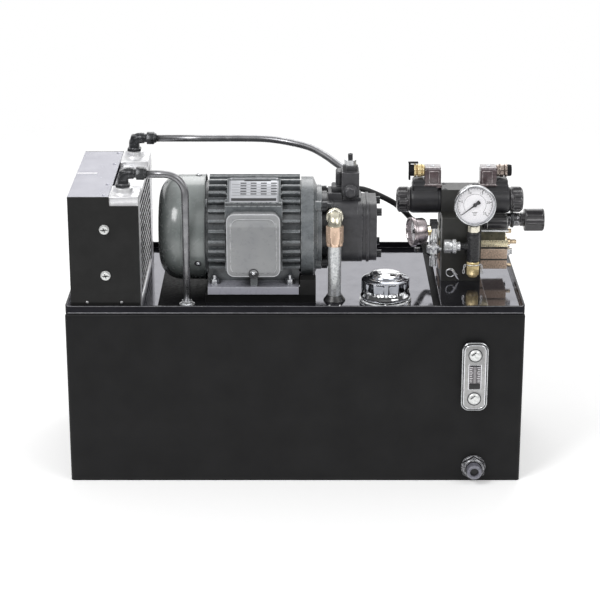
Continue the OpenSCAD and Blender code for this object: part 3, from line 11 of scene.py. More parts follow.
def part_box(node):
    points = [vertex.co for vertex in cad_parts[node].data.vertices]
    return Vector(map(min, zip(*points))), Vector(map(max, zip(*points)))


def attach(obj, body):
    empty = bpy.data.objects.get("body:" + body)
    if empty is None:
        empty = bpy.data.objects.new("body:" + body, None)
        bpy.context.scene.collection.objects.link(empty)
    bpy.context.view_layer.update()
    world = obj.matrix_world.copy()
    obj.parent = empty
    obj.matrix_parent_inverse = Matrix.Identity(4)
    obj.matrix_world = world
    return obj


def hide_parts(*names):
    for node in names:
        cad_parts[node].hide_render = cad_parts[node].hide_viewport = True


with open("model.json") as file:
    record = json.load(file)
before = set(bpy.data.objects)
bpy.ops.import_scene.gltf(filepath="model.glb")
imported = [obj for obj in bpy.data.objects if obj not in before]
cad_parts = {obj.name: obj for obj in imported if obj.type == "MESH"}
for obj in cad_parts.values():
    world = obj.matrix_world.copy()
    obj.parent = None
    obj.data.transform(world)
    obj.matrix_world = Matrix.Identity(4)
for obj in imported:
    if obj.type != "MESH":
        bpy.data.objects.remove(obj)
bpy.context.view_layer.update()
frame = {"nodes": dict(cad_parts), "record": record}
nodes = frame["nodes"]
mm = 0.001
scene = bpy.context.scene
print("frame loaded:", len(nodes), "nodes")

view = {"place": (0.008, -3.182, 1.352), "pitchDown": 18.96, "lens": 117.2, "film": 36.0}
lamps = {
    "key": {"place": (-1.5, -1.9, 2.3), "size": 1.3, "power": 46},
    "fill": {"place": (1.7, -1.7, 1.6), "size": 1.5, "power": 17},
    "back": {"place": (0.3, 1.9, 2.2), "size": 1.8, "power": 30},
}
room = {"light": 0.40, "aim": (0, 0, 0.28), "turnOver": 0.12, "floorRadius": 3, "floorDrop": 0.0002,
    "fadeFrom": 1, "fadeTo": 2.4}
floorLook = {"Base Color": (0.93, 0.93, 0.93, 1), "Roughness": 0.9, "Specular IOR Level": 0.1,
    "Emission Color": (1, 1, 1, 1), "Emission Strength": 0.30}
mirrored = {  # what shiny faces see, by height: (sine of the height, brightness)
    "behind": [(-0.3, 0.7), (0, 1.1), (0.335, 1.5), (0.37, 0.15), (0.48, 0.10), (0.60, 0.85), (1, 1)],
    "before": [(-0.5, 0.55), (-0.05, 0.30), (0, 0.07), (0.30, 0.09), (0.42, 0.75), (0.70, 1), (0.85, 0.35),
        (1, 0.9)],
}


def makeCamera():
    data = bpy.data.cameras.new("camera")
    data.lens = view["lens"]
    data.sensor_width = view["film"]
    data.clip_end = 50
    camera = bpy.data.objects.new("camera", data)
    camera.location = view["place"]
    camera.rotation_euler = (radians(90 - view["pitchDown"]), 0, 0)
    scene.collection.objects.link(camera)
    scene.camera = camera


def makeLamps():
    for name, lamp in lamps.items():
        data = bpy.data.lights.new(name, "AREA")
        data.size = lamp["size"]
        data.energy = lamp["power"]
        light = bpy.data.objects.new(name, data)
        light.location = lamp["place"]
        aim = Vector(room["aim"]) - Vector(lamp["place"])
        light.rotation_euler = aim.to_track_quat("-Z", "Y").to_euler()
        scene.collection.objects.link(light)


def wiring(tree):  # gives a function that adds a node, and sets or links its sockets
    def add(kind, sockets=None, **settings):
        made = tree.nodes.new("ShaderNode" + kind)
        for name, value in settings.items():
            setattr(made, name, value)
        for name, value in (sockets or {}).items():
            if isinstance(value, bpy.types.NodeSocket):
                tree.links.new(value, made.inputs[name])
            else:
                made.inputs[name].default_value = value
        return made
    return add


def makeWorld():
    world = bpy.data.worlds.new("studio")
    world.use_nodes = True
    scene.world = world
    add = wiring(world.node_tree)
    rays = add("LightPath").outputs
    direction = add("SeparateXYZ", {0: add("TexCoord").outputs["Generated"]}).outputs

    def byHeight(stops):
        height = add("MapRange", {"Value": direction["Z"], "From Min": -1, "From Max": 1}).outputs[0]
        ramp = add("ValToRGB", {0: height})
        points = ramp.color_ramp.elements
        while len(points) < len(stops):
            points.new(0.5)
        for point, (sine, bright) in zip(points, stops):
            point.position = (sine + 1) / 2
            point.color = (bright, bright, bright, 1)
        return ramp.outputs["Color"]

    def blended(factor, first, second):
        return add("Mix", {"Factor": factor, "A": first, "B": second}).outputs[0]

    turnOver = room["turnOver"]
    back = add("MapRange", {"Value": direction["Y"], "From Min": -turnOver, "From Max": turnOver}).outputs[0]
    reflected = blended(back, byHeight(mirrored["before"]), byHeight(mirrored["behind"]))
    pair = {0: rays["Is Glossy Ray"], 1: rays["Is Transmission Ray"]}
    shiny = add("Math", pair, operation="MAXIMUM").outputs[0]
    strength = blended(shiny, room["light"], reflected)
    background = world.node_tree.nodes["Background"].inputs
    background["Color"].default_value = (1, 1, 1, 1)
    world.node_tree.links.new(blended(rays["Is Camera Ray"], strength, 1), background["Strength"])


def makeFloor():
    bm = bmesh.new()
    bmesh.ops.create_circle(bm, cap_ends=True, segments=96, radius=room["floorRadius"])
    bmesh.ops.translate(bm, verts=bm.verts, vec=(0, 0, -room["floorDrop"]))
    mesh = bpy.data.meshes.new("floor")
    bm.to_mesh(mesh)
    bm.free()
    floor = bpy.data.objects.new("floor", mesh)
    scene.collection.objects.link(floor)
    material = bpy.data.materials.new("paleFloor")
    material.use_nodes = True
    tree = material.node_tree
    add = wiring(tree)
    shader = tree.nodes["Principled BSDF"]
    for socket, value in floorLook.items():
        shader.inputs[socket].default_value = value
    away = add("VectorMath", {0: add("TexCoord").outputs["Object"]}, operation="LENGTH").outputs["Value"]
    reach = {"Value": away, "From Min": room["fadeFrom"], "From Max": room["fadeTo"]}
    fade = add("MapRange", reach).outputs[0]
    clear = add("BsdfTransparent").outputs[0]
    mix = add("MixShader", {0: fade, 1: shader.outputs[0], 2: clear}).outputs[0]
    tree.links.new(mix, tree.nodes["Material Output"].inputs["Surface"])
    mesh.materials.append(material)


makeCamera()
makeLamps()
makeWorld()
makeFloor()
scene.view_settings.view_transform = "Standard"
print("stage ready")


# What a finish may say, with its sizes in mm: colour, cloud (second colour and size), specks (colour, size,
# amount), zone [(axis, low, high, colour)], edge (radius, colour of rubbed edges and painted highlights,
# amount), creviceShade (painted shade in hollows: reach, darkest), fade [(axis, from, to, first level, last
# level)] for painted shade and highlight, rim (node, wall, shine), rough (low, high, size), grain [(size,
# depth)], coat (weight, roughness), metal, shine and the values of other sockets.
def makeFinish(name, look):
    material = bpy.data.materials.new(name)
    material.use_nodes = True
    add = wiring(material.node_tree)
    link = material.node_tree.links.new
    shader = material.node_tree.nodes["Principled BSDF"].inputs
    place = add("TexCoord").outputs["Object"]
    along = add("SeparateXYZ", {0: place}).outputs

    def noise(size, detail=4):
        sockets = {"Vector": place, "Scale": 1 / (size * mm), "Detail": detail, "Roughness": 0.55}
        return add("TexNoise", sockets).outputs["Fac"]

    def ranged(value, low, high, toLow=0, toHigh=1):
        sockets = {"Value": value, "From Min": low, "From Max": high, "To Min": toLow, "To Max": toHigh}
        return add("MapRange", sockets).outputs[0]

    def combined(operation, first, second=0.5):
        return add("Math", {0: first, 1: second}, operation=operation).outputs[0]

    def blended(factor, first, second):
        sockets = {"Factor": factor}
        for index, paint in ((6, first), (7, second)):  # a Mix node keeps its colours in these sockets
            sockets[index] = (*paint, 1) if isinstance(paint, (tuple, list)) else paint
        return add("Mix", sockets, data_type="RGBA").outputs[2]

    def scaled(paint, factor):
        return add("VectorMath", {0: paint, "Scale": factor}, operation="SCALE").outputs[0]

    colour = look["colour"]
    *other, size = look.get("cloud", (*[part * 0.82 for part in colour], 18))
    shown = blended(ranged(noise(size), 0.35, 0.68), colour, other)
    for axis, low, high, paint in look.get("zone", []):
        above = ranged(along[axis], low * mm, (low + 0.4) * mm)
        below = ranged(along[axis], high * mm, (high - 0.4) * mm)
        shown = blended(combined("MULTIPLY", above, below), shown, paint)
    if "specks" in look:
        paint, size, amount = look["specks"]
        cells = add("TexVoronoi", {"Vector": place, "Scale": 1 / (size * mm)}).outputs
        if look.get("spangle"):
            flecks = ranged(add("RGBToBW", {0: cells["Color"]}).outputs[0], 0.2, 0.8, 0, amount)
        else:
            flecks = ranged(cells["Distance"], 0.16, 0.05, 0, amount)
        shown = blended(flecks, shown, paint)
    normal = None
    # edge: colours the rounded edges, partly wear and partly painted highlight
    if "edge" in look:
        radius, wearAndHighlight, amount = look["edge"]
        normal = add("Bevel", {"Radius": radius * mm}, samples=4).outputs[0]
        flat = add("NewGeometry").outputs["Normal"]
        bend = add("VectorMath", {0: normal, 1: flat}, operation="DOT_PRODUCT").outputs["Value"]
        rubbedAndLit = combined("MULTIPLY", ranged(bend, 0.985, 0.86, 0, amount), ranged(noise(5, 3), 0.3, 0.6))
        shown = blended(rubbedAndLit, shown, wearAndHighlight)
    # creviceShade: painted shade, the colour darker in hollows and between parts
    if "creviceShade" in look:
        reach, darkest = look["creviceShade"]
        shade = add("AmbientOcclusion", {"Distance": reach * mm}, samples=4).outputs["AO"]
        shown = scaled(shown, ranged(shade, 0.35, 0.85, darkest, 1))
    # fade: painted shade and highlight, the colour scaled along an axis
    for axis, start, end, first, last in look.get("fade", []):
        shown = scaled(shown, ranged(along[axis], start * mm, end * mm, first, last))
    link(shown, shader["Base Color"])
    if "rim" in look:  # the rim round a tray shines less than its floor
        node, wall, shine = look["rim"]
        low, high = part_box(node)
        middle = (low + high) / 2
        sides = []
        for axis, centre, reach in (("X", middle.x, high.x - middle.x), ("Y", middle.y, high.y - middle.y)):
            away = combined("ABSOLUTE", combined("SUBTRACT", along[axis], centre))
            sides.append(ranged(away, reach - (wall + 0.3) * mm, reach - wall * mm))
        link(ranged(combined("MAXIMUM", *sides), 0, 1, 0.5, shine), shader["Specular IOR Level"])
    low, high, size = look["rough"]
    link(ranged(noise(size, 5), 0.3, 0.7, low, high), shader["Roughness"])
    for size, depth in look.get("grain", []):
        bump = {"Height": noise(size, 3), "Distance": depth * mm, "Strength": 1}
        if normal:
            bump["Normal"] = normal
        normal = add("Bump", bump).outputs[0]
    if normal:
        link(normal, shader["Normal"])
    plain = dict(look.get("sockets", {}))
    if "coat" in look:
        plain["Coat Weight"], plain["Coat Roughness"] = look["coat"]
    for key, socket in (("metal", "Metallic"), ("shine", "Specular IOR Level")):
        if key in look:
            plain[socket] = look[key]
    for socket, number in plain.items():
        shader[socket].default_value = number
    return material


looks = {
    "tankBlack": {"colour": (0.0095, 0.0095, 0.01), "cloud": (0.013, 0.013, 0.0135, 60),
        "rough": (0.36, 0.52, 40), "grain": [(0.9, 0.012)], "edge": (1.2, (0.07, 0.07, 0.073), 0.6),
        "shine": 0.16},
    "lidBlack": {"colour": (0.008, 0.008, 0.01), "cloud": (0.014, 0.014, 0.017, 35), "rough": (0.04, 0.13, 22),
        "grain": [(9, 0.012), (2.4, 0.004)], "edge": (1.3, (0.34, 0.34, 0.37), 0.8),
        "rim": ("lid_tray", 3, 0.015), "sockets": {"IOR": 2.8, "Specular Tint": (0.9, 0.9, 1, 1)}},
    "plateBlack": {"colour": (0.014, 0.014, 0.014), "cloud": (0.018, 0.018, 0.018, 25),
        "rough": (0.45, 0.6, 12), "grain": [(0.6, 0.02)], "edge": (0.8, (0.1, 0.1, 0.1), 0.6),
        # zone: near black low down, painted shade where the riser and the cooler's plates meet the lid
        "zone": [("Z", 290, 313, (0.003, 0.003, 0.003))], "shine": 0.2},
    "shroudSheet": {"colour": (0.44, 0.44, 0.5), "cloud": (0.38, 0.38, 0.44, 50), "rough": (0.16, 0.28, 20),
        "grain": [(4, 0.01)], "edge": (0.8, (0.8, 0.8, 0.85), 0.5), "metal": 0.55},
    "castEnamel": {"colour": (0.16, 0.173, 0.183), "cloud": (0.105, 0.117, 0.124, 12),
        "rough": (0.22, 0.42, 5), "grain": [(2.6, 0.2), (0.9, 0.06)], "edge": (1.8, (0.62, 0.65, 0.66), 0.95),
        "specks": ((0.46, 0.49, 0.5), 2.4, 0.7), "zone": [("Z", 300, 328.6, (0.36, 0.36, 0.41))],
        "creviceShade": (14, 0.3), "coat": (0.35, 0.15)},
    "sheetEnamel": {"colour": (0.205, 0.225, 0.22), "cloud": (0.16, 0.178, 0.174, 45), "rough": (0.2, 0.3, 10),
        "grain": [(1.6, 0.006)], "edge": (1, (0.45, 0.48, 0.48), 0.6),
        # fade: painted shade on the underside, the left end and the right end of the fan cover, and a painted
        # highlight on its top
        "fade": [("Z", 316, 372, 0.12, 1), ("X", -226, -190, 0.22, 1), ("X", -160, -148, 1, 0.7),
            ("Z", 440, 492, 1, 1.35)],
        "coat": (0.6, 0.12)},
    "boxEnamel": {"colour": (0.265, 0.27, 0.275), "cloud": (0.225, 0.23, 0.24, 30), "rough": (0.24, 0.36, 8),
        # fade: a painted highlight on the upper part of the box and lid, and painted shade along their foot
        "fade": [("Z", 433.5, 436, 1, 1.2), ("Z", 354, 359, 0.8, 1)], "grain": [(1.3, 0.008)],
        "edge": (2, (0.85, 0.86, 0.88), 1), "coat": (0.3, 0.18)},
    "pumpCast": {"colour": (0.056, 0.056, 0.061), "cloud": (0.036, 0.036, 0.04, 9), "rough": (0.3, 0.5, 4),
        "grain": [(1.8, 0.12), (0.7, 0.04)], "edge": (1.8, (0.3, 0.3, 0.32), 0.85),
        "specks": ((0.18, 0.18, 0.19), 1.9, 0.5), "creviceShade": (10, 0.3)},
    # painted shadow: the matt black of the pad under the fan cover
    "shadowPadBlack": {"colour": (0.005, 0.005, 0.006), "cloud": (0.012, 0.012, 0.013, 5), "rough": (0.4, 0.6, 6),
        "grain": [(1.4, 0.02)], "specks": ((0.07, 0.07, 0.076), 2.2, 0.4), "shine": 0.04},
    "rimLight": {"colour": (0.52, 0.53, 0.55), "cloud": (0.44, 0.45, 0.47, 12), "rough": (0.2, 0.3, 4),
        "grain": [(1, 0.006)], "coat": (0.4, 0.12)},
    "lipHighlight": {"colour": (0.17, 0.17, 0.18), "cloud": (0.08, 0.08, 0.09, 7), "rough": (0.3, 0.45, 4),
        "grain": [(1.2, 0.02)], "coat": (0.4, 0.2)},
    "domeBright": {"colour": (0.84, 0.85, 0.84), "cloud": (0.66, 0.67, 0.66, 3), "rough": (0.24, 0.36, 3),
        "grain": [(1.2, 0.03)], "edge": (0.8, (1, 1, 1), 0.8), "creviceShade": (3, 0.25), "metal": 0.45},
    "darkChrome": {"colour": (0.56, 0.57, 0.58), "cloud": (0.42, 0.43, 0.44, 8), "rough": (0.06, 0.14, 6),
        "grain": [(2.2, 0.004)], "edge": (1.3, (0.98, 0.98, 0.98), 1), "metal": 1},
    "scaleGrey": {"colour": (0.3, 0.29, 0.3), "cloud": (0.2, 0.19, 0.2, 4), "rough": (0.3, 0.4, 4)},
    # painted reflections: the chrome of the flutes made dark, the top and the foot of the cap bright
    "capChrome": {"colour": (0.33, 0.34, 0.37), "cloud": (0.27, 0.28, 0.31, 10), "rough": (0.05, 0.12, 6),
        "grain": [(2.2, 0.004)], "edge": (1.2, (0.97, 0.97, 0.97), 1),
        "zone": [("Z", 346.5, 356, (0.95, 0.96, 0.97)), ("Z", 300, 322, (0.82, 0.83, 0.85))], "metal": 1},
    "zincWhite": {"colour": (0.86, 0.87, 0.88), "cloud": (0.62, 0.63, 0.65, 4), "rough": (0.16, 0.3, 3),
        "grain": [(0.8, 0.01)], "edge": (0.6, (1, 1, 1), 0.8), "metal": 0.7},
    "chromeShine": {"colour": (0.86, 0.87, 0.89), "cloud": (0.78, 0.79, 0.81, 10), "rough": (0.04, 0.12, 6),
        "grain": [(2.2, 0.004)], "edge": (0.6, (0.95, 0.95, 0.95), 0.6), "metal": 1},
    "zincBright": {"colour": (0.7, 0.71, 0.73), "cloud": (0.55, 0.56, 0.59, 5), "rough": (0.2, 0.36, 3),
        "grain": [(0.8, 0.012)], "edge": (0.5, (0.9, 0.9, 0.9), 0.5), "metal": 1},
    "galvanised": {"colour": (0.62, 0.64, 0.65), "cloud": (0.46, 0.48, 0.49, 5), "rough": (0.26, 0.42, 4),
        "grain": [(1, 0.03)], "specks": ((0.92, 0.93, 0.93), 2.6, 0.8), "spangle": True, "metal": 0.75},
    "groundSteel": {"colour": (0.5, 0.5, 0.51), "rough": (0.22, 0.36, 6), "grain": [(0.5, 0.006)],
        "edge": (0.4, (0.7, 0.7, 0.7), 0.5), "metal": 1},
    "tubeSteel": {"colour": (0.3, 0.3, 0.31), "cloud": (0.2, 0.2, 0.21, 16), "rough": (0.24, 0.36, 6),
        "grain": [(0.8, 0.006)], "metal": 0.85},
    "fittingBlack": {"colour": (0.045, 0.047, 0.05), "cloud": (0.03, 0.031, 0.034, 6),
        "rough": (0.18, 0.34, 3), "grain": [(1.2, 0.04)], "edge": (1.3, (0.4, 0.4, 0.42), 0.9), "metal": 0.5},
    "brassTurned": {"colour": (0.92, 0.76, 0.42), "cloud": (0.74, 0.56, 0.27, 6), "rough": (0.16, 0.3, 4),
        "grain": [(0.7, 0.008)], "edge": (0.8, (1, 0.95, 0.78), 0.9),
        "zone": [("Z", 400, 412, (0.98, 0.93, 0.78)), ("X", 40, 90, (0.9, 0.66, 0.5)),
            ("X", 330, 362, (0.5, 0.43, 0.38))],
        "metal": 0.55},
    "paleBrass": {"colour": (0.84, 0.8, 0.66), "cloud": (0.6, 0.57, 0.46, 5), "rough": (0.14, 0.28, 4),
        "grain": [(0.8, 0.01)], "edge": (0.8, (1, 0.98, 0.9), 0.9), "metal": 0.8},
    "brazedAluminium": {"colour": (0.86, 0.86, 0.87), "cloud": (0.74, 0.74, 0.76, 8), "rough": (0.3, 0.45, 4),
        "grain": [(1, 0.02)], "edge": (0.8, (0.95, 0.95, 0.95), 0.5), "metal": 0.6},
    "rubberBlack": {"colour": (0.012, 0.012, 0.013), "cloud": (0.018, 0.018, 0.019, 6), "rough": (0.6, 0.8, 4),
        "grain": [(0.8, 0.02)], "shine": 0.12},
    "mouldedBlack": {"colour": (0.019, 0.019, 0.021), "cloud": (0.026, 0.026, 0.03, 9),
        "rough": (0.32, 0.46, 5), "grain": [(0.5, 0.012)], "edge": (0.9, (0.1, 0.1, 0.11), 0.6)},
    "plugSmoke": {"colour": (0.058, 0.042, 0.044), "cloud": (0.12, 0.085, 0.09, 5), "rough": (0.18, 0.34, 3),
        "grain": [(1.6, 0.03)], "edge": (1.8, (0.8, 0.74, 0.74), 1), "coat": (0.7, 0.1)},
    "windings": {"colour": (0.42, 0.16, 0.06), "cloud": (0.25, 0.09, 0.04, 4), "rough": (0.3, 0.5, 3),
        "grain": [(1, 0.1)], "metal": 0.5},
    "manifoldPlated": {"colour": (0.86, 0.66, 0.52), "cloud": (0.46, 0.34, 0.25, 2.6),
        "rough": (0.25, 0.42, 3), "grain": [(1.2, 0.03)], "edge": (1.6, (1, 0.94, 0.84), 1), "metal": 0.3},
    "blockBlack": {"colour": (0.036, 0.036, 0.034), "cloud": (0.028, 0.028, 0.028, 25),
        "rough": (0.38, 0.5, 6), "grain": [(0.5, 0.01)], "edge": (0.9, (0.12, 0.12, 0.12), 0.6)},
    # painted light: a faint glow keeps the white of the dials, the level ticks and the shroud's slot bright
    "glowingDialWhite": {"colour": (0.95, 0.94, 0.96), "cloud": (0.91, 0.9, 0.93, 15), "rough": (0.4, 0.5, 5),
        "sockets": {"Emission Color": (1, 0.98, 1, 1), "Emission Strength": 0.14}},
    "plateSilver": {"colour": (0.56, 0.57, 0.6), "cloud": (0.48, 0.49, 0.52, 12), "rough": (0.3, 0.4, 6),
        "grain": [(0.5, 0.004)], "edge": (0.3, (0.8, 0.8, 0.8), 0.5), "metal": 0.6},
    "finFoil": {"colour": (0.3, 0.3, 0.32), "cloud": (0.03, 0.03, 0.034, 4), "rough": (0.28, 0.4, 4),
        "grain": [(0.8, 0.004)], "creviceShade": (5, 0.05), "metal": 0.3},
    "tubeEdge": {"colour": (0.78, 0.78, 0.8), "cloud": (0.1, 0.1, 0.11, 7), "rough": (0.28, 0.4, 4),
        "grain": [(0.8, 0.03)], "creviceShade": (5, 0.1), "metal": 0.3},
    "hoseRubber": {"colour": (0.016, 0.016, 0.017), "cloud": (0.024, 0.024, 0.025, 8), "rough": (0.4, 0.55, 5),
        "grain": [(0.7, 0.02)], "shine": 0.4},
    "gaugeSatin": {"colour": (0.46, 0.46, 0.46), "cloud": (0.37, 0.37, 0.37, 6), "rough": (0.32, 0.5, 3),
        "grain": [(0.6, 0.02)], "metal": 0.7},
    "scaleBrown": {"colour": (0.13, 0.12, 0.13), "cloud": (0.09, 0.085, 0.09, 8), "rough": (0.4, 0.5, 4)},
    # edge: bright edges on the drain plug, partly wear and partly painted glints
    "wornBlackAndGlints": {"colour": (0.022, 0.022, 0.025), "cloud": (0.015, 0.015, 0.017, 5), "rough": (0.15, 0.3, 3),
        "grain": [(2.4, 0.05)], "edge": (2.2, (0.85, 0.86, 0.9), 1), "metal": 0.3},
    "ringGrey": {"colour": (0.13, 0.13, 0.155), "cloud": (0.21, 0.21, 0.25, 4), "rough": (0.3, 0.45, 3),
        "grain": [(0.8, 0.02)], "edge": (0.6, (0.6, 0.6, 0.66), 0.8)},
    "gaugeChrome": {"colour": (0.68, 0.69, 0.71), "cloud": (0.52, 0.53, 0.55, 8), "rough": (0.06, 0.16, 5),
        "grain": [(1.5, 0.004)], "edge": (0.5, (0.95, 0.95, 0.95), 0.6), "metal": 1},
    # painted reflection: a chrome can made dark and brown, as it mirrors a dark room
    "gaugeDarkReflection": {"colour": (0.46, 0.42, 0.43), "cloud": (0.34, 0.29, 0.3, 9), "rough": (0.22, 0.32, 5),
        "grain": [(1.5, 0.006)], "edge": (0.6, (0.85, 0.82, 0.8), 0.8), "metal": 1},
    # painted shade: the throttle plate's yellow-zinc plating made dark olive, as it lies in the shade of the
    # parts above it
    "shadedGoldZinc": {"colour": (0.12, 0.11, 0.07), "cloud": (0.06, 0.056, 0.038, 9), "rough": (0.25, 0.4, 4),
        "grain": [(1, 0.02)], "edge": (0.8, (0.45, 0.42, 0.3), 0.7), "metal": 0.5},
    "standOlive": {"colour": (0.026, 0.026, 0.022), "cloud": (0.02, 0.02, 0.018, 25), "rough": (0.34, 0.5, 6),
        "grain": [(0.5, 0.01)], "edge": (1, (0.2, 0.2, 0.19), 0.8)},
    "goldBright": {"colour": (0.88, 0.8, 0.56), "cloud": (0.58, 0.5, 0.34, 2.2), "rough": (0.2, 0.38, 3),
        "grain": [(1, 0.03)], "edge": (0.7, (0.95, 0.92, 0.78), 0.8), "metal": 0.7},
    "boltBronze": {"colour": (0.6, 0.48, 0.32), "cloud": (0.42, 0.33, 0.24, 3), "rough": (0.2, 0.34, 3),
        "grain": [(0.7, 0.01)], "edge": (0.5, (0.9, 0.8, 0.65), 0.7), "metal": 1},
    "nickelBrown": {"colour": (0.5, 0.43, 0.38), "cloud": (0.34, 0.27, 0.24, 5), "rough": (0.14, 0.28, 4),
        "grain": [(0.7, 0.008)], "edge": (0.5, (0.9, 0.85, 0.8), 0.7), "metal": 1},
    "seamBlack": {"colour": (0.02, 0.018, 0.016), "cloud": (0.09, 0.08, 0.07, 1.6), "rough": (0.4, 0.6, 3),
        "grain": [(0.8, 0.03)]},
    "threadSilver": {"colour": (0.75, 0.75, 0.78), "cloud": (0.2, 0.2, 0.22, 3), "rough": (0.12, 0.24, 3),
        "grain": [(0.8, 0.01)], "edge": (0.4, (0.95, 0.95, 0.95), 0.9), "metal": 1},
    "mouldedGloss": {"colour": (0.024, 0.023, 0.026), "cloud": (0.034, 0.032, 0.035, 9),
        "rough": (0.16, 0.28, 5), "grain": [(0.8, 0.012)], "edge": (2.6, (0.34, 0.33, 0.34), 1),
        "creviceShade": (6, 0.2), "coat": (0.4, 0.15)},
    "isolatorBlack": {"colour": (0.016, 0.016, 0.017), "cloud": (0.026, 0.026, 0.028, 5),
        "rough": (0.22, 0.36, 4), "grain": [(0.9, 0.02)], "edge": (0.7, (0.12, 0.12, 0.13), 0.7)},
    "plugLid": {"colour": (0.16, 0.13, 0.14), "cloud": (0.36, 0.32, 0.34, 3), "rough": (0.12, 0.26, 3),
        "grain": [(1.4, 0.05)], "edge": (1, (0.85, 0.8, 0.8), 0.9), "coat": (0.8, 0.08)},
    "rubberGloss": {"colour": (0.018, 0.018, 0.019), "cloud": (0.026, 0.026, 0.027, 6),
        "rough": (0.25, 0.4, 4), "grain": [(0.9, 0.02)], "edge": (0.8, (0.1, 0.1, 0.11), 0.7)},
    "printBlack": {"colour": (0.02, 0.02, 0.022), "rough": (0.4, 0.55, 3)},
    "paneClear": {"colour": (0.3, 0.3, 0.32), "cloud": (0.34, 0.34, 0.36, 12), "rough": (0.02, 0.05, 8),
        "sockets": {"Alpha": 0.06, "IOR": 1.45}},
}
finishes = {name: makeFinish(name, look) for name, look in looks.items()}
print("finishes made:", len(finishes))

# Shapes are made in mm about the origin, with Z as their axis, and then joined in place.
up = Vector((0, 0, 1))
front = Vector((0, -1, 0))
right = Vector((1, 0, 0))
weld = 0.00001  # metres: a solid's loose triangles are merged at this distance


def boxOf(node):
    low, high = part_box(node)
    return low / mm, high / mm, (low + high) / (2 * mm)


def facing(x, y, z):  # turns a shape so that its own axes lie along these
    return Matrix((x, y, z)).transposed().to_4x4()


def join(bm, part, place=(0, 0, 0), axis=up, turn=0):  # axis is a direction or a matrix
    bmesh.ops.remove_doubles(part, verts=part.verts, dist=0.002)
    bmesh.ops.recalc_face_normals(part, faces=part.faces)
    if not isinstance(axis, Matrix):
        axis = up.rotation_difference(Vector(axis)).to_matrix().to_4x4()
    matrix = Matrix.Translation(Vector(place) * mm) @ axis @ Matrix.Rotation(radians(turn), 4, "Z")
    bmesh.ops.transform(part, matrix=matrix @ Matrix.Scale(mm, 4), verts=part.verts)
    mesh = bpy.data.meshes.new("part")
    part.to_mesh(mesh)
    part.free()
    bm.from_mesh(mesh)
    bpy.data.meshes.remove(mesh)


def finishPiece(name, bm, finishName, slot, body="unit", smooth=38, instead=()):
    mesh = bpy.data.meshes.new(name)
    bm.to_mesh(mesh)
    bm.free()
    mesh.polygons.foreach_set("use_smooth", [True] * len(mesh.polygons))
    mesh.set_sharp_from_angle(angle=radians(smooth))
    mesh.materials.append(finishes[finishName])
    piece = bpy.data.objects.new(name, mesh)
    scene.collection.objects.link(piece)
    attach(piece, body)
    if instead:
        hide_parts(*instead)


def build(name, finishName, slot, parts, **others):  # parts are rows of what join() takes
    bm = bmesh.new()
    for part in parts:
        join(bm, *part)
    finishPiece(name, bm, finishName, slot, **others)


def mergedCopy(node):
    bm = bmesh.new()
    bm.from_mesh(nodes[node].data)
    bmesh.ops.remove_doubles(bm, verts=bm.verts, dist=weld)
    return bm


def bevelEdges(part, radius, segments=2, sharp=30):
    edges = [e for e in part.edges if len(e.link_faces) == 2 and e.calc_face_angle() > radians(sharp)]
    if radius > 0 and edges:
        bmesh.ops.bevel(part, geom=edges, offset=radius, segments=segments, affect="EDGES", profile=0.5,
            material=-1)
    return part


def turned(outline, steps=48):  # (radius, height) pairs, spun round the axis
    part = bmesh.new()
    verts = [part.verts.new((r, 0, h)) for r, h in outline]
    edges = [part.edges.new(pair) for pair in zip(verts, verts[1:])]
    line = verts + edges
    bmesh.ops.spin(part, geom=line, cent=(0, 0, 0), axis=up, angle=2 * pi, steps=steps, use_merge=True)
    return part


def rod(radius, height, edge=0.4, sides=32):
    part = bmesh.new()
    bmesh.ops.create_cone(part, cap_ends=True, segments=sides, radius1=radius, radius2=radius, depth=height)
    bmesh.ops.translate(part, verts=part.verts, vec=(0, 0, height / 2))
    return bevelEdges(part, edge)


def hexagon(flats, height, edge=0.5):
    return rod(flats / 2 / cos(pi / 6), height, edge, 6)


def bentRod(radius, bend, angle=90, steps=8, sides=24):  # rises along Z, then bends towards X
    part = bmesh.new()
    bmesh.ops.create_circle(part, cap_ends=True, segments=sides, radius=radius)
    turn = radians(angle)
    bmesh.ops.spin(part, geom=part.faces[:], cent=(bend, 0, 0), axis=(0, 1, 0), angle=turn, steps=steps)
    return part


def block(size, edge=0.5, segments=2):
    part = bmesh.new()
    bmesh.ops.create_cube(part, size=1)
    bmesh.ops.scale(part, vec=size, verts=part.verts)
    return bevelEdges(part, edge, segments)


def roundPlate(width, depth, height, corner, edge=0.5, segments=2):
    part = block((width, depth, height), 0)
    bmesh.ops.translate(part, verts=part.verts, vec=(0, 0, height / 2))
    upright = [e for e in part.edges if abs(e.verts[0].co.z - e.verts[1].co.z) > height / 2]
    bmesh.ops.bevel(part, geom=upright, offset=corner, segments=8, affect="EDGES", profile=0.5, material=-1)
    return bevelEdges(part, edge, segments, 60)


def roundLoop(halfWide, halfHigh, corner, lift):  # the points of a rounded rectangle
    points = []
    for x, y, start in ((1, 1, 0), (-1, 1, 90), (-1, -1, 180), (1, -1, 270)):
        for step in range(7):
            angle = radians(start + step * 15)
            across = x * (halfWide - corner) + cos(angle) * corner
            points.append((across, y * (halfHigh - corner) + sin(angle) * corner, lift))
    return points


def meshOf(curve):
    holder = bpy.data.objects.new("curve", curve)
    mesh = bpy.data.meshes.new_from_object(holder)
    part = bmesh.new()
    part.from_mesh(mesh)
    bpy.data.objects.remove(holder)
    bpy.data.curves.remove(curve)
    bpy.data.meshes.remove(mesh)
    return part


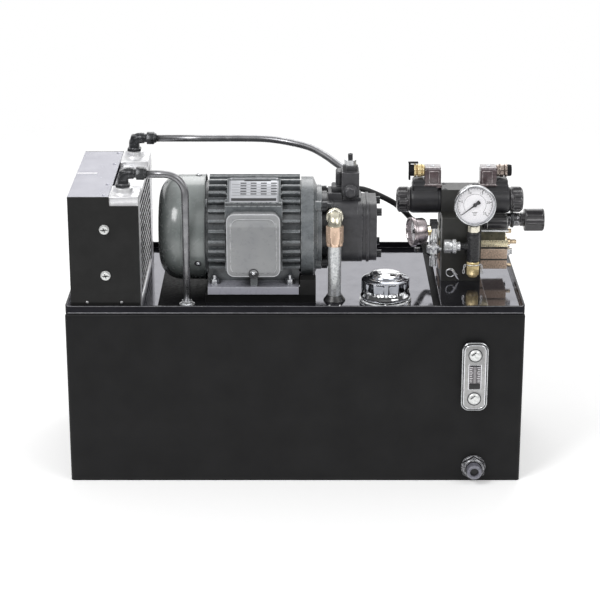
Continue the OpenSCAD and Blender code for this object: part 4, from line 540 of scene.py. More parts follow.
def wire(points, radius, closed=False):
    curve = bpy.data.curves.new("wire", "CURVE")
    curve.dimensions = "3D"
    curve.bevel_depth = radius
    curve.bevel_resolution = 4
    curve.use_fill_caps = not closed
    curve.resolution_u = 8
    spline = curve.splines.new("NURBS")
    spline.points.add(len(points) - 1)
    for point, target in zip(points, spline.points):
        target.co = (*point, 1)
    spline.order_u = min(4, len(points))
    spline.use_cyclic_u = closed
    spline.use_endpoint_u = not closed
    return meshOf(curve)


def lobed(part, count, radius, biteRadius, depth, low, high, fade):  # bites round the rim of a turned shape
    reach = biteRadius - depth
    for vert in part.verts:
        angle = atan2(vert.co.y, vert.co.x)
        away = vert.co.xy.length
        if away < radius * 0.8 or not low < vert.co.z < high:
            continue
        offset = (angle * count / (2 * pi)) % 1 - 0.5
        across = radius * sin(offset * 2 * pi / count)
        if abs(across) >= biteRadius:
            continue
        bite = max(0, sqrt(biteRadius ** 2 - across ** 2) - reach)
        level = min(1, (vert.co.z - low) / fade, (high - vert.co.z) / fade)
        bite *= level * level * (3 - 2 * level)
        vert.co.xy *= (away - bite) / away
    return part


def crossHead(place, axis, radius, turn=0):  # the rows of a pan head with a cross recess
    outline = [(0, 0.62), (0.45, 0.56), (0.8, 0.36), (1, 0.1 / radius), (1, 0), (0, 0)]
    lifted = Vector(place) + Vector(axis).normalized() * radius * 0.5
    bar = (radius, radius * 0.16, radius * 0.3)
    bars = [(block(bar, 0.05, 1), lifted, axis, turn + extra) for extra in (0, 90)]
    return [(turned([(r * radius, h * radius) for r, h in outline], 24), place, axis), *bars]


def socketHead(place, axis, radius, height):  # the row of a socket head with its key hole
    outline = [(0, height * 0.45), (radius * 0.5, height * 0.45), (radius * 0.5, height),
        (radius - 0.5, height), (radius, height - 0.5), (radius, 0), (0, 0)]
    return turned(outline, 24), place, axis


nodeLooks = {
    "tankBlack": ["tank_body"],
    "lidBlack": ["lid_tray"],
    "groundSteel": ["lid_screws", "tank_strainers", "motor_bearings", "motor_rotor", "cam_ring", "pump_rotor",
        "valve_spool"],
    "chromeShine": ["level_gauge_frame", "level_gauge_bolts", "filler_neck", "filler_cap", "pressure_gauge",
        "side_gauge"],
    "fittingBlack": ["drain_plug", "pump_adapter", "pump_screws", "adjust_screw", "tube_elbows", "fan_guard"],
    "plateBlack": ["motor_riser", "cooler_plates"],
    "castEnamel": ["motor_frame", "motor_front_shield", "motor_rear_shield"],
    "sheetEnamel": ["fan_cover"],
    "windings": ["stator_core"],
    "mouldedBlack": ["motor_fan", "cooler_fan", "relief_knob", "solenoid_coils", "coil_nuts"],
    "boxEnamel": ["terminal_box", "terminal_lid"],
    "zincBright": ["foot_bolts", "suction_elbow", "isolator_wheel"],
    "pumpCast": ["pump_body", "pump_cover", "pump_control"],
    "galvanised": ["suction_pipe"],
    "rubberBlack": ["pipe_grommet", "pressure_hose"],
    "tubeSteel": ["cooler_tubes"],
    "zincWhite": ["port_fittings"],
    "brassTurned": ["brass_fittings"],
    "brazedAluminium": ["cooler_core"],
    "shroudSheet": ["cooler_shroud"],
    "domeBright": ["cooler_screws"],
    "standOlive": ["valve_stand"],
    "manifoldPlated": ["manifold"],
    "shadedGoldZinc": ["throttle_plate"],
    "blockBlack": ["relief_plate", "valve_body", "gauge_isolator"],
    "plugSmoke": ["coil_plugs"],
    "printBlack": ["gauge_needle", "side_needle"],
    "paneClear": ["sight_windows"],
}
for finishName, names in nodeLooks.items():
    for name in names:
        nodes[name].data.materials.clear()
        nodes[name].data.materials.append(finishes[finishName])
print("solids finished")

axisY, axisZ = boxOf("motor_rotor")[2].yz
corners = list(product((-1, 1), repeat=2))


def around(angle, reach):  # a point round the motor's axis: 0 faces the front, 90 is the top
    return Vector((0, axisY - cos(radians(angle)) * reach, axisZ + sin(radians(angle)) * reach))


def moved(outline, radius, height=0):
    return [(r + radius, h + height) for r, h in outline]


terminalLid = {"flange": 5, "corner": 12, "edge": 1.7, "inset": 7, "panelCorner": 9, "panelEdge": 1.3,
    "slopeFrom": 14, "slope": 0.32, "rimLine": (-1, -0.7, 0.9), "panelLine": (-8.2, -0.9, 0.6)}


def makeTerminalLid():
    low, high, middle = boxOf("terminal_lid")
    width, depth, height = high - low
    place = (middle.x, high.y, middle.z)
    flange, corner, inset = terminalLid["flange"], terminalLid["corner"], 2 * terminalLid["inset"]
    plate = roundPlate(width, height, flange, corner, terminalLid["edge"], 3)
    panelSize = (width - inset, height - inset, depth)
    panel = roundPlate(*panelSize, terminalLid["panelCorner"], terminalLid["panelEdge"], 3)
    bend = (height - inset) / 2 - terminalLid["slopeFrom"]
    whole = panel.verts[:] + panel.edges[:] + panel.faces[:]
    bmesh.ops.bisect_plane(panel, geom=whole, plane_co=(0, bend, 0), plane_no=(0, 1, 0))
    for vert in panel.verts:
        if vert.co.y > bend and vert.co.z > flange:
            vert.co.z -= (vert.co.y - bend) * terminalLid["slope"]
    parts = [(part, place, front) for part in (plate, panel)]
    build("terminalBoxLid", "boxEnamel", "motor_paint", parts, instead=["terminal_lid"])
    lines = []
    for level, key in ((flange, "rimLine"), (depth, "panelLine")):
        grow, lift, radius = terminalLid[key]  # a painted highlight: a bright line along an edge, where it catches the light
        loop = roundLoop(width / 2 + grow, height / 2 + grow, corner, level + lift)
        lines.append((wire(loop, radius, closed=True), place, front))
    build("terminalRimLines", "rimLight", "motor_paint", lines)


ratingPlate = {"tilt": 60, "reach": 84, "slide": 2.4, "size": (81, 57, 0.9), "corner": 2.5, "rivetIn": 3,
    "rivet": [(0, 1), (0.9, 0.8), (1.5, 0), (0, 0)], "rows": 5, "columns": 4, "firstRow": 12.6, "pitch": 6.2,
    "margins": 14, "ruleHigh": 2.3, "title": (6, 6.6, 44, 2.8), "band": (6.8, 7, 6.4), "line": (9, 0.4),
    "words": (5, 12, 3, 4), "frame": (1.3, 4, 0.5)}


def makeRatingPlate():
    tilt = radians(ratingPlate["tilt"])
    tilted = facing(right, Vector((0, sin(tilt), cos(tilt))), Vector((0, -cos(tilt), sin(tilt))))
    centre = around(ratingPlate["tilt"], ratingPlate["reach"]) + right * boxOf("terminal_lid")[2].x
    centre += tilted.to_3x3() @ Vector((0, ratingPlate["slide"], 0))
    width, height, thick = ratingPlate["size"]

    def over(x, y, z):
        return centre + tilted.to_3x3() @ Vector((x, y, z))

    def rule(x, y, length, high):
        return block((length, high, 0.12), 0), over(x, y, thick + 0.03), tilted

    parts = [(roundPlate(width, height, thick, ratingPlate["corner"], 0.3), centre, tilted)]
    across, along = width / 2 - ratingPlate["rivetIn"], height / 2 - ratingPlate["rivetIn"]
    for x, y in corners:
        parts.append((turned(ratingPlate["rivet"], 16), over(x * across, y * along, thick), tilted))
    build("ratingPlate", "plateSilver", "zinc", parts)
    x, down, length, high = ratingPlate["title"]
    rules = [rule(x, height / 2 - down, length, high)]
    rise, shorter, high = ratingPlate["band"]
    rules.append(rule(0, rise - height / 2, width - shorter, high))
    step = (width - ratingPlate["margins"]) / ratingPlate["columns"]
    shortest, both, before, after = ratingPlate["words"]
    shorter, thin = ratingPlate["line"]
    for row in range(ratingPlate["rows"]):
        y = height / 2 - ratingPlate["firstRow"] - row * ratingPlate["pitch"]
        for column in range(ratingPlate["columns"]):
            x = (column - 1) * step
            first = shortest + 2 * ((row + 2 * column) % 3)  # words of different lengths
            second = both - first
            rules.append(rule(x - step / 2 + before + first / 2, y, first, ratingPlate["ruleHigh"]))
            rules.append(rule(x + step / 2 - after - second / 2, y, second, ratingPlate["ruleHigh"]))
        rules.append(rule(0, y - ratingPlate["pitch"] / 2, width - shorter, thin))
    inward, shorter, thin = ratingPlate["frame"]
    for side in (-1, 1):
        rules.append(rule(side * (width / 2 - inward), 0, thin, height - shorter))
        rules.append(rule(0, side * (height / 2 - inward), width - shorter, thin))
    build("ratingPlateRules", "printBlack", "black_plastic", rules)


motorTrim = {"screwAngles": (-27, 93, 213), "screwIn": 12, "lidScrew": (1.2, 6.5, 3.6), "beadFrom": 36.5,
    "flangeAngles": (45, 135, 225, 315), "flangeReach": 68.5, "flangeScrew": (6, 7),
    "rim": [(-2, 0), (0.3, 0), (1, 0.9), (0.3, 1.8), (-2, 1.8), (-2, 0)],
    "bead": [(-0.6, 0), (0.5, 1.2), (0.5, 2.2), (-0.6, 3.4), (-0.6, 0)],
    "cup": [(0, 0.7), (5.2, 0.7), (5.8, 0.3), (5.8, 0), (0, 0)],
    "head": [(0, 3), (1.6, 2.8), (3, 2), (3.7, 0.9), (3.8, 0.2), (0, 0.2)],
    "lidCup": [(3.8, 0.4), (6.4, 0.4), (6.8, 2.2), (8.4, 2.2), (8.6, -2), (3.8, -2), (3.8, 0.4)]}


def makeMotorTrim():
    coverLow, coverHigh, _ = boxOf("fan_cover")
    radius = (coverHigh.z - coverLow.z) / 2
    rings = (("rim", coverHigh.x - 1.8), ("bead", coverLow.x + motorTrim["beadFrom"]))
    parts = [(turned(moved(motorTrim[key], radius), 96), (x, axisY, axisZ), right) for key, x in rings]
    build("fanCoverRim", "sheetEnamel", "motor_paint", parts)
    screws, cups = [], []
    for angle in motorTrim["screwAngles"]:
        outward = around(angle, 1) - around(angle, 0)
        spot = around(angle, radius - 0.2) + right * (coverHigh.x - motorTrim["screwIn"])
        cups.append((turned(motorTrim["cup"], 32), spot, outward))
        screws.append((turned(motorTrim["head"], 32), spot + outward * 0.5, outward))
    lidLow, _, lidMiddle = boxOf("terminal_lid")
    deep, rise, size = motorTrim["lidScrew"]
    spot = Vector((lidMiddle.x, lidLow.y + deep, lidLow.z + rise))
    build("motorScrews", "zincBright", "zinc", [*screws, *crossHead(spot, front, size, 30)])
    cups.append((turned(motorTrim["lidCup"], 36), spot, front))
    build("terminalScrewCup", "mouldedBlack", "black_plastic", cups)
    face = right * boxOf("pump_adapter")[1].x
    spots = [around(angle, motorTrim["flangeReach"]) + face for angle in motorTrim["flangeAngles"]]
    heads = [socketHead(spot, right, *motorTrim["flangeScrew"]) for spot in spots]
    build("flangeScrews", "fittingBlack", "black_oxide", heads)


paintedShadowPad = {"front": -171, "thick": 1.2, "overlap": 1}


def makePaintedShadowPad():  # a matt black pad beside the riser, under the fan cover: painted shadow and reflection of the fan cover on the lid
    low, high, _ = boxOf("motor_riser")
    coverLow = boxOf("fan_cover")[0]
    ahead, thick, overlap = paintedShadowPad["front"], paintedShadowPad["thick"], paintedShadowPad["overlap"]
    size = (low.x - coverLow.x + overlap, high.y - ahead, thick)
    middle = ((low.x + coverLow.x + overlap) / 2, (ahead + high.y) / 2, low.z + thick / 2)
    build("paintedShadowPad", "shadowPadBlack", "black_paint", [(block(size), middle)])


makeTerminalLid()
makeRatingPlate()
makeMotorTrim()
makePaintedShadowPad()
print("motor dressed")

cooler = {"plate": 9, "header": 34, "blockDepth": 68, "bossRadius": 16.5, "bar": 6, "pitch": 12, "tube": 3,
    "fold": 2.6, "foil": 0.25}
elbow = {"radius": 9.2, "bend": 10, "inward": 11.55, "neck": 7.4, "nutFrom": 22, "nut": (19.5, 13),
    "baseNut": (23, 5), "ridge": 13, "collar": [(0, 4), (6.6, 4), (8.2, 2.6), (8.8, 0), (0, 0)]}
shroud = {"slot": (34, 5.2, 0.5), "slotIn": 18, "topRivetsIn": (8, 10), "topRivetsAt": (-70, 60),
    "endRivetsIn": (8, 40), "rivet": [(0, 1.4), (1.8, 1.2), (3, 0.2), (3, 0), (0, 0)]}


def foldedFoil(length, depth, height):
    part = bmesh.new()
    count = int(length / cooler["fold"])
    bmesh.ops.create_grid(part, x_segments=count, y_segments=1, size=0.5)
    for vert in part.verts:
        index = round((vert.co.x + 0.5) * count)
        vert.co = (vert.co.x * length, vert.co.y * depth, height / 2 * (1 if index % 2 else -1))
    bmesh.ops.solidify(part, geom=part.faces[:], thickness=cooler["foil"])
    return part


def coolerPorts():  # the middle of each of the two ports, at the height of the lines
    low, high, _ = boxOf("tube_elbows")
    inward = elbow["inward"]
    return [Vector((low.x + inward, y, high.z - elbow["bend"])) for y in (low.y + inward, high.y - inward)]


def makeCoolerCore():
    low, high, middle = boxOf("cooler_core")
    plateTop = boxOf("cooler_shroud")[1].z
    coreTop = plateTop - cooler["plate"]
    width = high.x - low.x
    header, deep, bar = cooler["header"], cooler["blockDepth"], cooler["bar"]
    parts = []
    for y, inward in ((low.y, 1), (high.y, -1)):
        tank = block((width, header, coreTop - low.z), 1.6, 3)
        parts.append((tank, (middle.x, y + inward * header / 2, (coreTop + low.z) / 2)))
        portBlock = block((width, deep, plateTop - coreTop + 1), 1.4, 3)
        parts.append((portBlock, (middle.x, y + inward * deep / 2, (plateTop + coreTop - 1) / 2)))
    radius, height = cooler["bossRadius"], high.z - plateTop
    outline = [(0, height), (radius - 2.5, height), (radius - 1, height - 1), (radius - 0.6, 2.5),
        (radius + 1.6, 0.4), (radius + 1.8, -0.5), (0, -0.5)]
    parts += [(turned(outline, 40), (port.x, port.y, plateTop)) for port in coolerPorts()]
    span = high.y - low.y - 2 * header
    for z in (low.z + bar / 2, coreTop - bar / 2):
        parts.append((block((width - 1, span + 4, bar), 0.8), (middle.x, middle.y, z)))
    build("coolerHeaders", "brazedAluminium", "aluminium", parts, instead=["cooler_core"])
    tubes, foils = [], []
    pitch, thick = cooler["pitch"], cooler["tube"]
    gap = pitch - thick
    z = low.z + pitch
    while z < coreTop - pitch:
        tubes.append((block((width - 2, span + 2, thick), 1.3, 3), (middle.x, middle.y, z + thick / 2)))
        if z + thick < coreTop - pitch:
            place = (middle.x, middle.y, z + thick + gap / 2)
            foils.append((foldedFoil(span, width - 4, gap - 0.3), place, up, 90))
        z += pitch
    build("coolerFlatTubes", "tubeEdge", "aluminium", tubes)
    build("coolerFins", "finFoil", "aluminium", foils, smooth=20)


def makeElbows():
    bossTop = boxOf("cooler_core")[1].z
    radius, bend, nutFrom, ridge = [elbow[key] for key in ("radius", "bend", "nutFrom", "ridge")]
    flats, nutLong = elbow["nut"]
    height = 2 * radius - 3
    parts = []
    for port in coolerPorts():
        base = port - up * (port.z - bossTop)
        side = port + right * (bend - 0.2)
        nutPlace = port + right * nutFrom
        parts += [
            (hexagon(*elbow["baseNut"], 0.8), base),
            (rod(radius, port.z - bossTop - bend, 0.5), base),
            (bentRod(radius, bend), port - up * bend),
            (rod(radius, 8, 0.8), side, right),
            (rod(elbow["neck"], nutFrom - bend + 2, 0.3), side, right),
            (hexagon(flats, nutLong, 0.9), nutPlace, right),
            (turned(elbow["collar"], 32), nutPlace + right * nutLong, right),
            (roundPlate(ridge, ridge, height, 3, 0.8), port + right - front * height / 2 - up, front),
        ]
    build("coolerElbows", "fittingBlack", "black_oxide", parts, instead=["tube_elbows"])


def makeShroudTrim():
    low, high, middle = boxOf("cooler_shroud")
    slot = roundPlate(*shroud["slot"], 2, 0.15)
    build("shroudSlot", "glowingDialWhite", "zinc", [(slot, (low.x + shroud["slotIn"], middle.y, high.z))])
    inX, inY = shroud["topRivetsIn"]
    between = [middle.y + y for y in shroud["topRivetsAt"]]
    spots = [((high.x - inX, y, high.z), up) for y in (low.y + inY, *between, high.y - inY)]
    inY, inZ = shroud["endRivetsIn"]
    sides = product((low.z + inZ, middle.z, high.z - inZ), (low.y + inY, high.y - inY))
    spots += [((low.x, y, z), -right) for z, y in sides]
    rivets = [(turned(shroud["rivet"], 20), *spot) for spot in spots]
    build("shroudRivets", "shroudSheet", "black_oxide", rivets)


makeCoolerCore()
makeElbows()
makeShroudTrim()
print("cooler dressed")

tubeLook = {"cooler_tubes": ("oilTubes", "tubeSteel", "tube_steel"),
    "pressure_hose": ("pressureHose", "hoseRubber", "rubber")}
lowerNut = {"flats": 20.5, "foot": [(0, 6), (9.6, 6), (9.6, 4), (7.6, 0.6), (6.8, 0), (0, 0)]}
isolator = {"radius": 11, "nutDrop": 13}
suction = {"radius": 11.6, "bend": 12.5, "collar": 13.6, "topToAxis": 12, "collarsAt": (0.5, -4.5),
    "nut": (25, 8)}
returnLine = {"grommetIn": 12, "nut": (17, 5),
    "collar": [(6.1, 0), (13, 0), (13, 1.6), (12.4, 2), (6.1, 2), (6.1, 0)],
    "seal": [(6.1, 1.4), (9.6, 1.6), (11.6, 0.8), (11.8, 0.1), (6.1, 0.1), (6.1, 1.4)]}


def makeTubes():
    for node, (name, finishName, slot) in tubeLook.items():
        finishPiece(name, mergedCopy(node), finishName, slot, smooth=50, instead=[node])


def makeBrass():  # the fittings as they are, but the isolator's lower nut turned with a corner to the front
    low, high, _ = boxOf("gauge_isolator")
    axis = Vector((high.x - isolator["radius"], boxOf("isolator_wheel")[2].y, 0))
    bottom = boxOf("brass_fittings")[0].z
    bm = mergedCopy("brass_fittings")
    old = [v for v in bm.verts if abs(v.co.x / mm - axis.x) < 15 and v.co.z / mm < low.z + 1]
    bmesh.ops.delete(bm, geom=old, context="VERTS")
    join(bm, hexagon(lowerNut["flats"], low.z - bottom - 4, 1.2), axis + up * (bottom + 4.5))
    join(bm, turned(lowerNut["foot"], 40), axis + up * bottom)
    finishPiece("brassFittings", bm, "brassTurned", "brass", instead=["brass_fittings"], smooth=30)


def makeSuctionElbow():
    low, high, _ = boxOf("suction_elbow")
    pipe = boxOf("suction_pipe")[2]
    radius, bend, collar = suction["radius"], suction["bend"], suction["collar"]
    level = high.z - suction["topToAxis"]
    start = Vector((pipe.x, pipe.y + bend, level))
    ring = [(9, 0), (collar, 0), (collar + 0.7, 1), (collar + 0.7, 2.4), (collar, 3.4), (9, 3.4), (9, 0)]
    parts = [
        (bentRod(radius, bend, 90, 10, 32), start, facing(-up, right, front)),
        (rod(radius, high.y - start.y, 0.3), start, -front),
        (hexagon(*suction["nut"], 1), (pipe.x, high.y - 1, level), front),
        *[(turned(ring, 40), start - front * back, front) for back in suction["collarsAt"]],
        (rod(radius, level - bend - low.z + 0.2, 0.3), (pipe.x, pipe.y, low.z)),
    ]
    build("suctionElbow", "paleBrass", "zinc", parts, instead=["suction_elbow"])


def returnDrop():  # where the return tube goes through the lid, at the grommet on the left
    across = [(v.co / mm).x for v in nodes["pipe_grommet"].data.vertices if v.co.x < 0]
    y = boxOf("pipe_grommet")[0].y + returnLine["grommetIn"]
    return Vector(((min(across) + max(across)) / 2, y, boxOf("motor_riser")[0].z))


def makeReturnCollar():
    drop = returnDrop()
    parts = [(turned(returnLine["collar"], 32), drop + up * 0.05)]
    parts.append((hexagon(*returnLine["nut"], 0.8), drop + up * 2))
    build("returnCollar", "zincWhite", "zinc", parts)


makeTubes()
makeBrass()
makeSuctionElbow()
makeReturnCollar()
print("oil lines dressed")

pumpTrim = {"plugOver": 66, "hexagon": (14, 4.4), "screw": (2.6, 1.6), "screwsAt": (10.5, 17),
    "ribs": (2.6, 1.2, 1.6), "rib": (5, 25, 1.2), "glandDrop": 9.4, "topScrew": (3.4, 4), "topScrewsAt": 19.5,
    "blocks": (((27, 12, 10), 2.4), ((24, 34, 12), 3), ((12, 30, 42), 4)),
    "plug": [(0, 1.2), (3, 1.2), (3, 3.4), (7.5, 3.4), (10.5, 1.6), (11.5, 0), (0, 0)],
    "gland": [(0, 15), (3.2, 15), (4.4, 13.4), (4.4, 9), (8.5, 9), (9.6, 7.6), (9.6, 1.6), (10.6, 0.6),
        (10.6, -0.6), (0, -0.6)]}


def makePumpTrim():
    bodyLow = boxOf("pump_body")[0]
    coverLow, coverHigh, _ = boxOf("pump_cover")
    towerLow, towerHigh, _ = boxOf("pump_control")
    towerX = (towerLow.x + towerHigh.x) / 2 - 1.5
    towerFront = towerLow.y + 4
    spot = (towerX, towerLow.y, axisZ + pumpTrim["plugOver"])
    parts = [(turned(pumpTrim["plug"], 40), spot, front)]
    parts.append((hexagon(*pumpTrim["hexagon"], 0.6), spot, front, 12))
    across, along = pumpTrim["screwsAt"]
    level = (towerLow.z + towerHigh.z) / 2 - 7
    for x, z in corners:
        place = (towerX + x * across, towerFront + 4, level + z * along)
        parts.append((rod(*pumpTrim["screw"], 0.5, 20), place, front))
    for side in (-1, 1):
        place = (towerX, axisY + side * pumpTrim["topScrewsAt"], towerLow.z + 5)
        parts.append(socketHead(place, up, *pumpTrim["topScrew"]))
    build("pumpPlugs", "pumpCast", "black_oxide", parts)
    parts = []
    for x, grow in zip((bodyLow.x + 6, coverLow.x - 9.5, coverLow.x + 6.5), pumpTrim["ribs"]):
        size = coverHigh.z - coverLow.z + 1.6 + grow
        parts.append((roundPlate(size, size, *pumpTrim["rib"]), (x, axisY, axisZ), right))
    places = [(towerX + 1, towerFront + 7, towerLow.z - 2), (towerX - 19, axisY + 4, towerLow.z + 14),
        (towerX - 18, axisY + 12, towerLow.z + 22)]
    parts += [(block(size, edge, 3), place) for (size, edge), place in zip(pumpTrim["blocks"], places)]
    build("pumpRibs", "pumpCast", "pump_iron", parts)
    place = (towerX, axisY, towerHigh.z - pumpTrim["glandDrop"])
    build("pumpGland", "zincBright", "zinc", [(turned(pumpTrim["gland"], 36), place)])


makePumpTrim()
print("pump dressed")

fillerCap = {"flutes": 12, "fluteRadius": 12, "depth": 3.1, "from": 11, "to": 31.5, "fade": 3.5,
    "crown": [(-10, -5), (-7.5, -5.6), (-4.5, -6.4), (-2, -7.2), (-0.4, -8.2)],  # from the rim and the top
    "skirt": [(0.2, 9), (1.6, 6), (2, 4.4), (1.9, 2.8), (1.2, 1), (0, 0), (-5, 0), (-5.2, 2)],
    "disc": [(-15.5, 0), (-14, -0.7), (-13.4, -2), (-13, -3), (-11.6, -4.2), (-9, -4.6), (-9, -6)],
    "ring": [(-18.6, -0.2), (-18, -0.05), (-17.4, -0.2), (-18, -0.8), (-18.6, -0.2)]}
fillerNeck = {"screws": 6, "firstScrew": 28, "screwIn": 2, "screw": [(0, 1.5), (2, 1.2), (2.6, 0), (0, 0)],
    "flange": [(-4, 0.5), (-1.6, 0.4), (0, -1), (0, -5), (0.6, -5.4), (0.6, -5.9), (-4, -5.9), (-4, 0.5)]}


def makeFillerCap():
    low, high, middle = boxOf("filler_cap")
    place = (middle.x, middle.y, low.z)
    height = high.z - low.z
    radius = (high.x - low.x) / 2 - 2
    start, end = fillerCap["from"], fillerCap["to"]
    crown, disc, ring = [moved(fillerCap[key], radius, height) for key in ("crown", "disc", "ring")]
    band = [(radius, end - (end - start) * step / 14) for step in range(15)]
    outline = [(0, height - 5), *crown, *band, *moved(fillerCap["skirt"], radius), (0, 2)]
    flutes = [fillerCap["flutes"], radius, fillerCap["fluteRadius"], fillerCap["depth"]]
    cap = lobed(turned(outline, 192), *flutes, start, end + 0.2, fillerCap["fade"])
    top = turned([(0, height), *disc, (0, height - 6)], 96)
    parts = [(part, place) for part in (cap, top, turned(ring, 96))]
    build("fillerCap", "capChrome", "chrome", parts, body="filler_cap", instead=["filler_cap"], smooth=30)


def makeFillerTrim():
    low, high, middle = boxOf("filler_neck")
    radius = (high.x - low.x) / 2
    top = Vector((middle.x, middle.y, boxOf("filler_cap")[0].z - 2))
    parts = [(turned(moved(fillerNeck["flange"], radius), 96), top)]
    reach = radius - fillerNeck["screwIn"]
    for step in range(fillerNeck["screws"]):
        angle = radians(360 / fillerNeck["screws"] * step + fillerNeck["firstScrew"])
        spot = top + Vector((cos(angle) * reach, sin(angle) * reach, 0.2))
        parts.append((turned(fillerNeck["screw"], 16), spot))
    build("fillerFlange", "zincWhite", "zinc", parts)


makeFillerCap()
makeFillerTrim()
print("filler dressed")

levelGauge = {"rim": 4.6, "corner": 14, "window": (19, 42), "frame": 0.7, "groove": 1.7, "pitch": 3.1,
    "tick": (4.2, 0.7, 0.3), "longer": 1.2, "tube": (4.6, 0.6), "band": (9.6, 0.7), "topBand": (2, 0.5),
    "head": 10.2, "dome": 4.4, "boltIn": 9.5, "slot": 40}
drainPlug = {"flats": 36, "hexHigh": 10, "ring": 12.4, "hole": 7.4, "keyFlats": 14.6, "keyDeep": 7.6,
    "washer": [(0, 2), (19.5, 2), (20.4, 1.4), (20.4, 0), (0, 0)],
    "collar": [(0, 2.2), (15, 2.2), (16.2, 1), (16.4, -0.6), (0, -0.6)]}
tankWeld = {"radius": 1.3, "shorter": 24, "in": (5.6, 1.6)}


def makeLevelGauge():
    low, high, middle = boxOf("level_gauge_frame")
    width, thick, height = high - low
    corner, groove, frameWide = levelGauge["corner"], levelGauge["groove"], levelGauge["frame"]
    wide, tall = levelGauge["window"]
    place = Vector((middle.x, high.y, middle.z))
    lifted = place + front * (thick - 0.1)
    insideX, insideZ = width - 2 * levelGauge["rim"], height - 2 * levelGauge["rim"]
    rim = roundPlate(width, height, thick, corner, 2.2, 4)
    build("levelGaugeRim", "darkChrome", "chrome", [(rim, place, front)], instead=["level_gauge_frame"])
    plate = roundPlate(insideX, insideZ, 0.5, corner - 4, 0.3)
    build("levelGaugePlate", "gaugeSatin", "zinc", [(plate, lifted, front)])
    beads = [wire(roundLoop(insideX / 2, insideZ / 2, corner - 4, 0.4), 0.9, closed=True)]
    frameX, frameZ = wide / 2 + frameWide, tall / 2 + frameWide
    for side in (-1, 1):
        beads.append(wire([(side * frameX, z * frameZ, 0.5) for z in (-1, 0, 1)], 0.8))
        beads.append(wire([(x * frameX, side * frameZ, 0.5) for x in (-1, 0, 1)], 0.8))
    build("levelGaugeBead", "chromeShine", "chrome", [(bead, lifted, front) for bead in beads])
    loop = roundLoop(insideX / 2 + groove, insideZ / 2 + groove, corner - 2.6, 0)
    build("levelGaugeGroove", "printBlack", "black_plastic", [(wire(loop, 0.75, closed=True), lifted, front)])
    scale = roundPlate(wide, tall, 0.3, 1.2, 0.1)
    build("levelScale", "scaleBrown", "black_plastic", [(scale, lifted + front * 0.45, front)])
    tubeWide, tubeThick = levelGauge["tube"]
    tube = block((tubeWide, tall - 4, tubeThick), 0.25)
    build("levelTube", "scaleGrey", "black_plastic", [(tube, lifted + front * 0.9, front)])
    ticks = []
    tickWide, tickHigh, tickThick = levelGauge["tick"]
    for step in range(int((tall - 9) / levelGauge["pitch"])):
        height = tall / 2 - 4 - step * levelGauge["pitch"]
        length = tickWide + (levelGauge["longer"] if step % 3 == 0 else 0)
        for side in (-1, 1):
            spot = lifted + right * side * (wide / 2 - 0.8 - length / 2) + up * height + front * 0.9
            ticks.append((block((length, tickHigh, tickThick), 0.08, 1), spot, front))
    build("levelTicks", "glowingDialWhite", "chrome", ticks)
    bands = [
        (block((wide - 2.4, *levelGauge["band"]), 0.2), lifted - up * (tall / 2 - 5.6) + front, front),
        (block((wide - 5, *levelGauge["topBand"]), 0.2), lifted + up * (tall / 2 - 1.6) + front, front),
    ]
    build("levelBand", "printBlack", "black_plastic", bands)


def makeLevelBolts():
    low, high, middle = boxOf("level_gauge_bolts")
    reach = (high.z - low.z) / 2 - levelGauge["boltIn"]
    face = boxOf("level_gauge_frame")[0].y - 0.4
    head, dome, slot = levelGauge["head"], levelGauge["dome"], radians(levelGauge["slot"])
    outline = [(0, dome), (4, dome - 0.2), (7, dome - 0.8), (8.6, dome - 1.7), (9.7, dome - 3), (head, 0.6),
        (head, 0), (0, 0)]
    # ring: a dark washer under each bolt, which also stands for the shade round the dome
    ring = [(head - 0.6, 0), (head + 1.4, 0), (head + 1.4, 0.7), (head - 0.6, 0.8), (head - 0.6, 0)]
    bolts, rings = [], []
    for side in (-1, 1):
        place = Vector((middle.x, face, middle.z + side * reach))
        bolt = turned(outline, 48)
        for vert in bolt.verts:
            if abs(vert.co.x * cos(slot) + vert.co.y * sin(slot)) < 1 and vert.co.z > dome - 1.4:
                vert.co.z -= 0.7
        bolts.append((bolt, place, front))
        rings.append((turned(ring, 48), place, front))
        # a dark dash on each dome's upper left: painted shadow
        shadowMark = place + front * (dome - 0.5) + up * 3.6 - right * 2.6
        rings.append((block((9, 1.9, 0.5), 0.1, 1), shadowMark, front, 38))
    build("levelBoltRingsAndShadows", "fittingBlack", "black_oxide", rings)
    build("levelGaugeBolts", "domeBright", "chrome", bolts, instead=["level_gauge_bolts"])


def makeDrainPlug():
    low, _, middle = boxOf("drain_plug")
    face = boxOf("tank_body")[0].y
    place = Vector((middle.x, face, middle.z))
    base, radius, hole = drainPlug["hexHigh"], drainPlug["ring"], drainPlug["hole"]
    parts = [
        (turned(drainPlug["washer"]), place, front),
        (hexagon(drainPlug["flats"], base - 1, 1.4), place + front * 1.6, front),
        (turned(moved(drainPlug["collar"], 0, base)), place, front),
    ]
    build("drainPlug", "wornBlackAndGlints", "black_oxide", parts, instead=["drain_plug"])
    top = face - low.y
    outline = [(hole, top - 8), (hole, top - 1), (hole + 1.2, top - 0.2), (radius - 1.6, top - 0.2),
        (radius, top - 1.8), (radius, base), (hole, base), (hole, top - 8)]
    build("drainPlugEnd", "ringGrey", "black_oxide", [(turned(outline), place, front)])
    hollow = hexagon(drainPlug["keyFlats"], 1, 0)
    place += front * (top - drainPlug["keyDeep"])
    build("drainPlugHole", "printBlack", "black_plastic", [(hollow, place, front)])


def makeWelds():
    low, high, middle = boxOf("tank_body")
    length = high.z - low.z - tankWeld["shorter"]
    inX, inY = tankWeld["in"]
    places = product((low.x + inX, high.x - inX), (low.y + inY, high.y - inY), [middle.z - length / 2])
    beads = [(rod(tankWeld["radius"], length, 0, 10), spot) for spot in places]
    build("tankWelds", "tankBlack", "black_paint", beads)


makeLevelGauge()
makeLevelBolts()
makeDrainPlug()
makeWelds()
print("tank dressed")

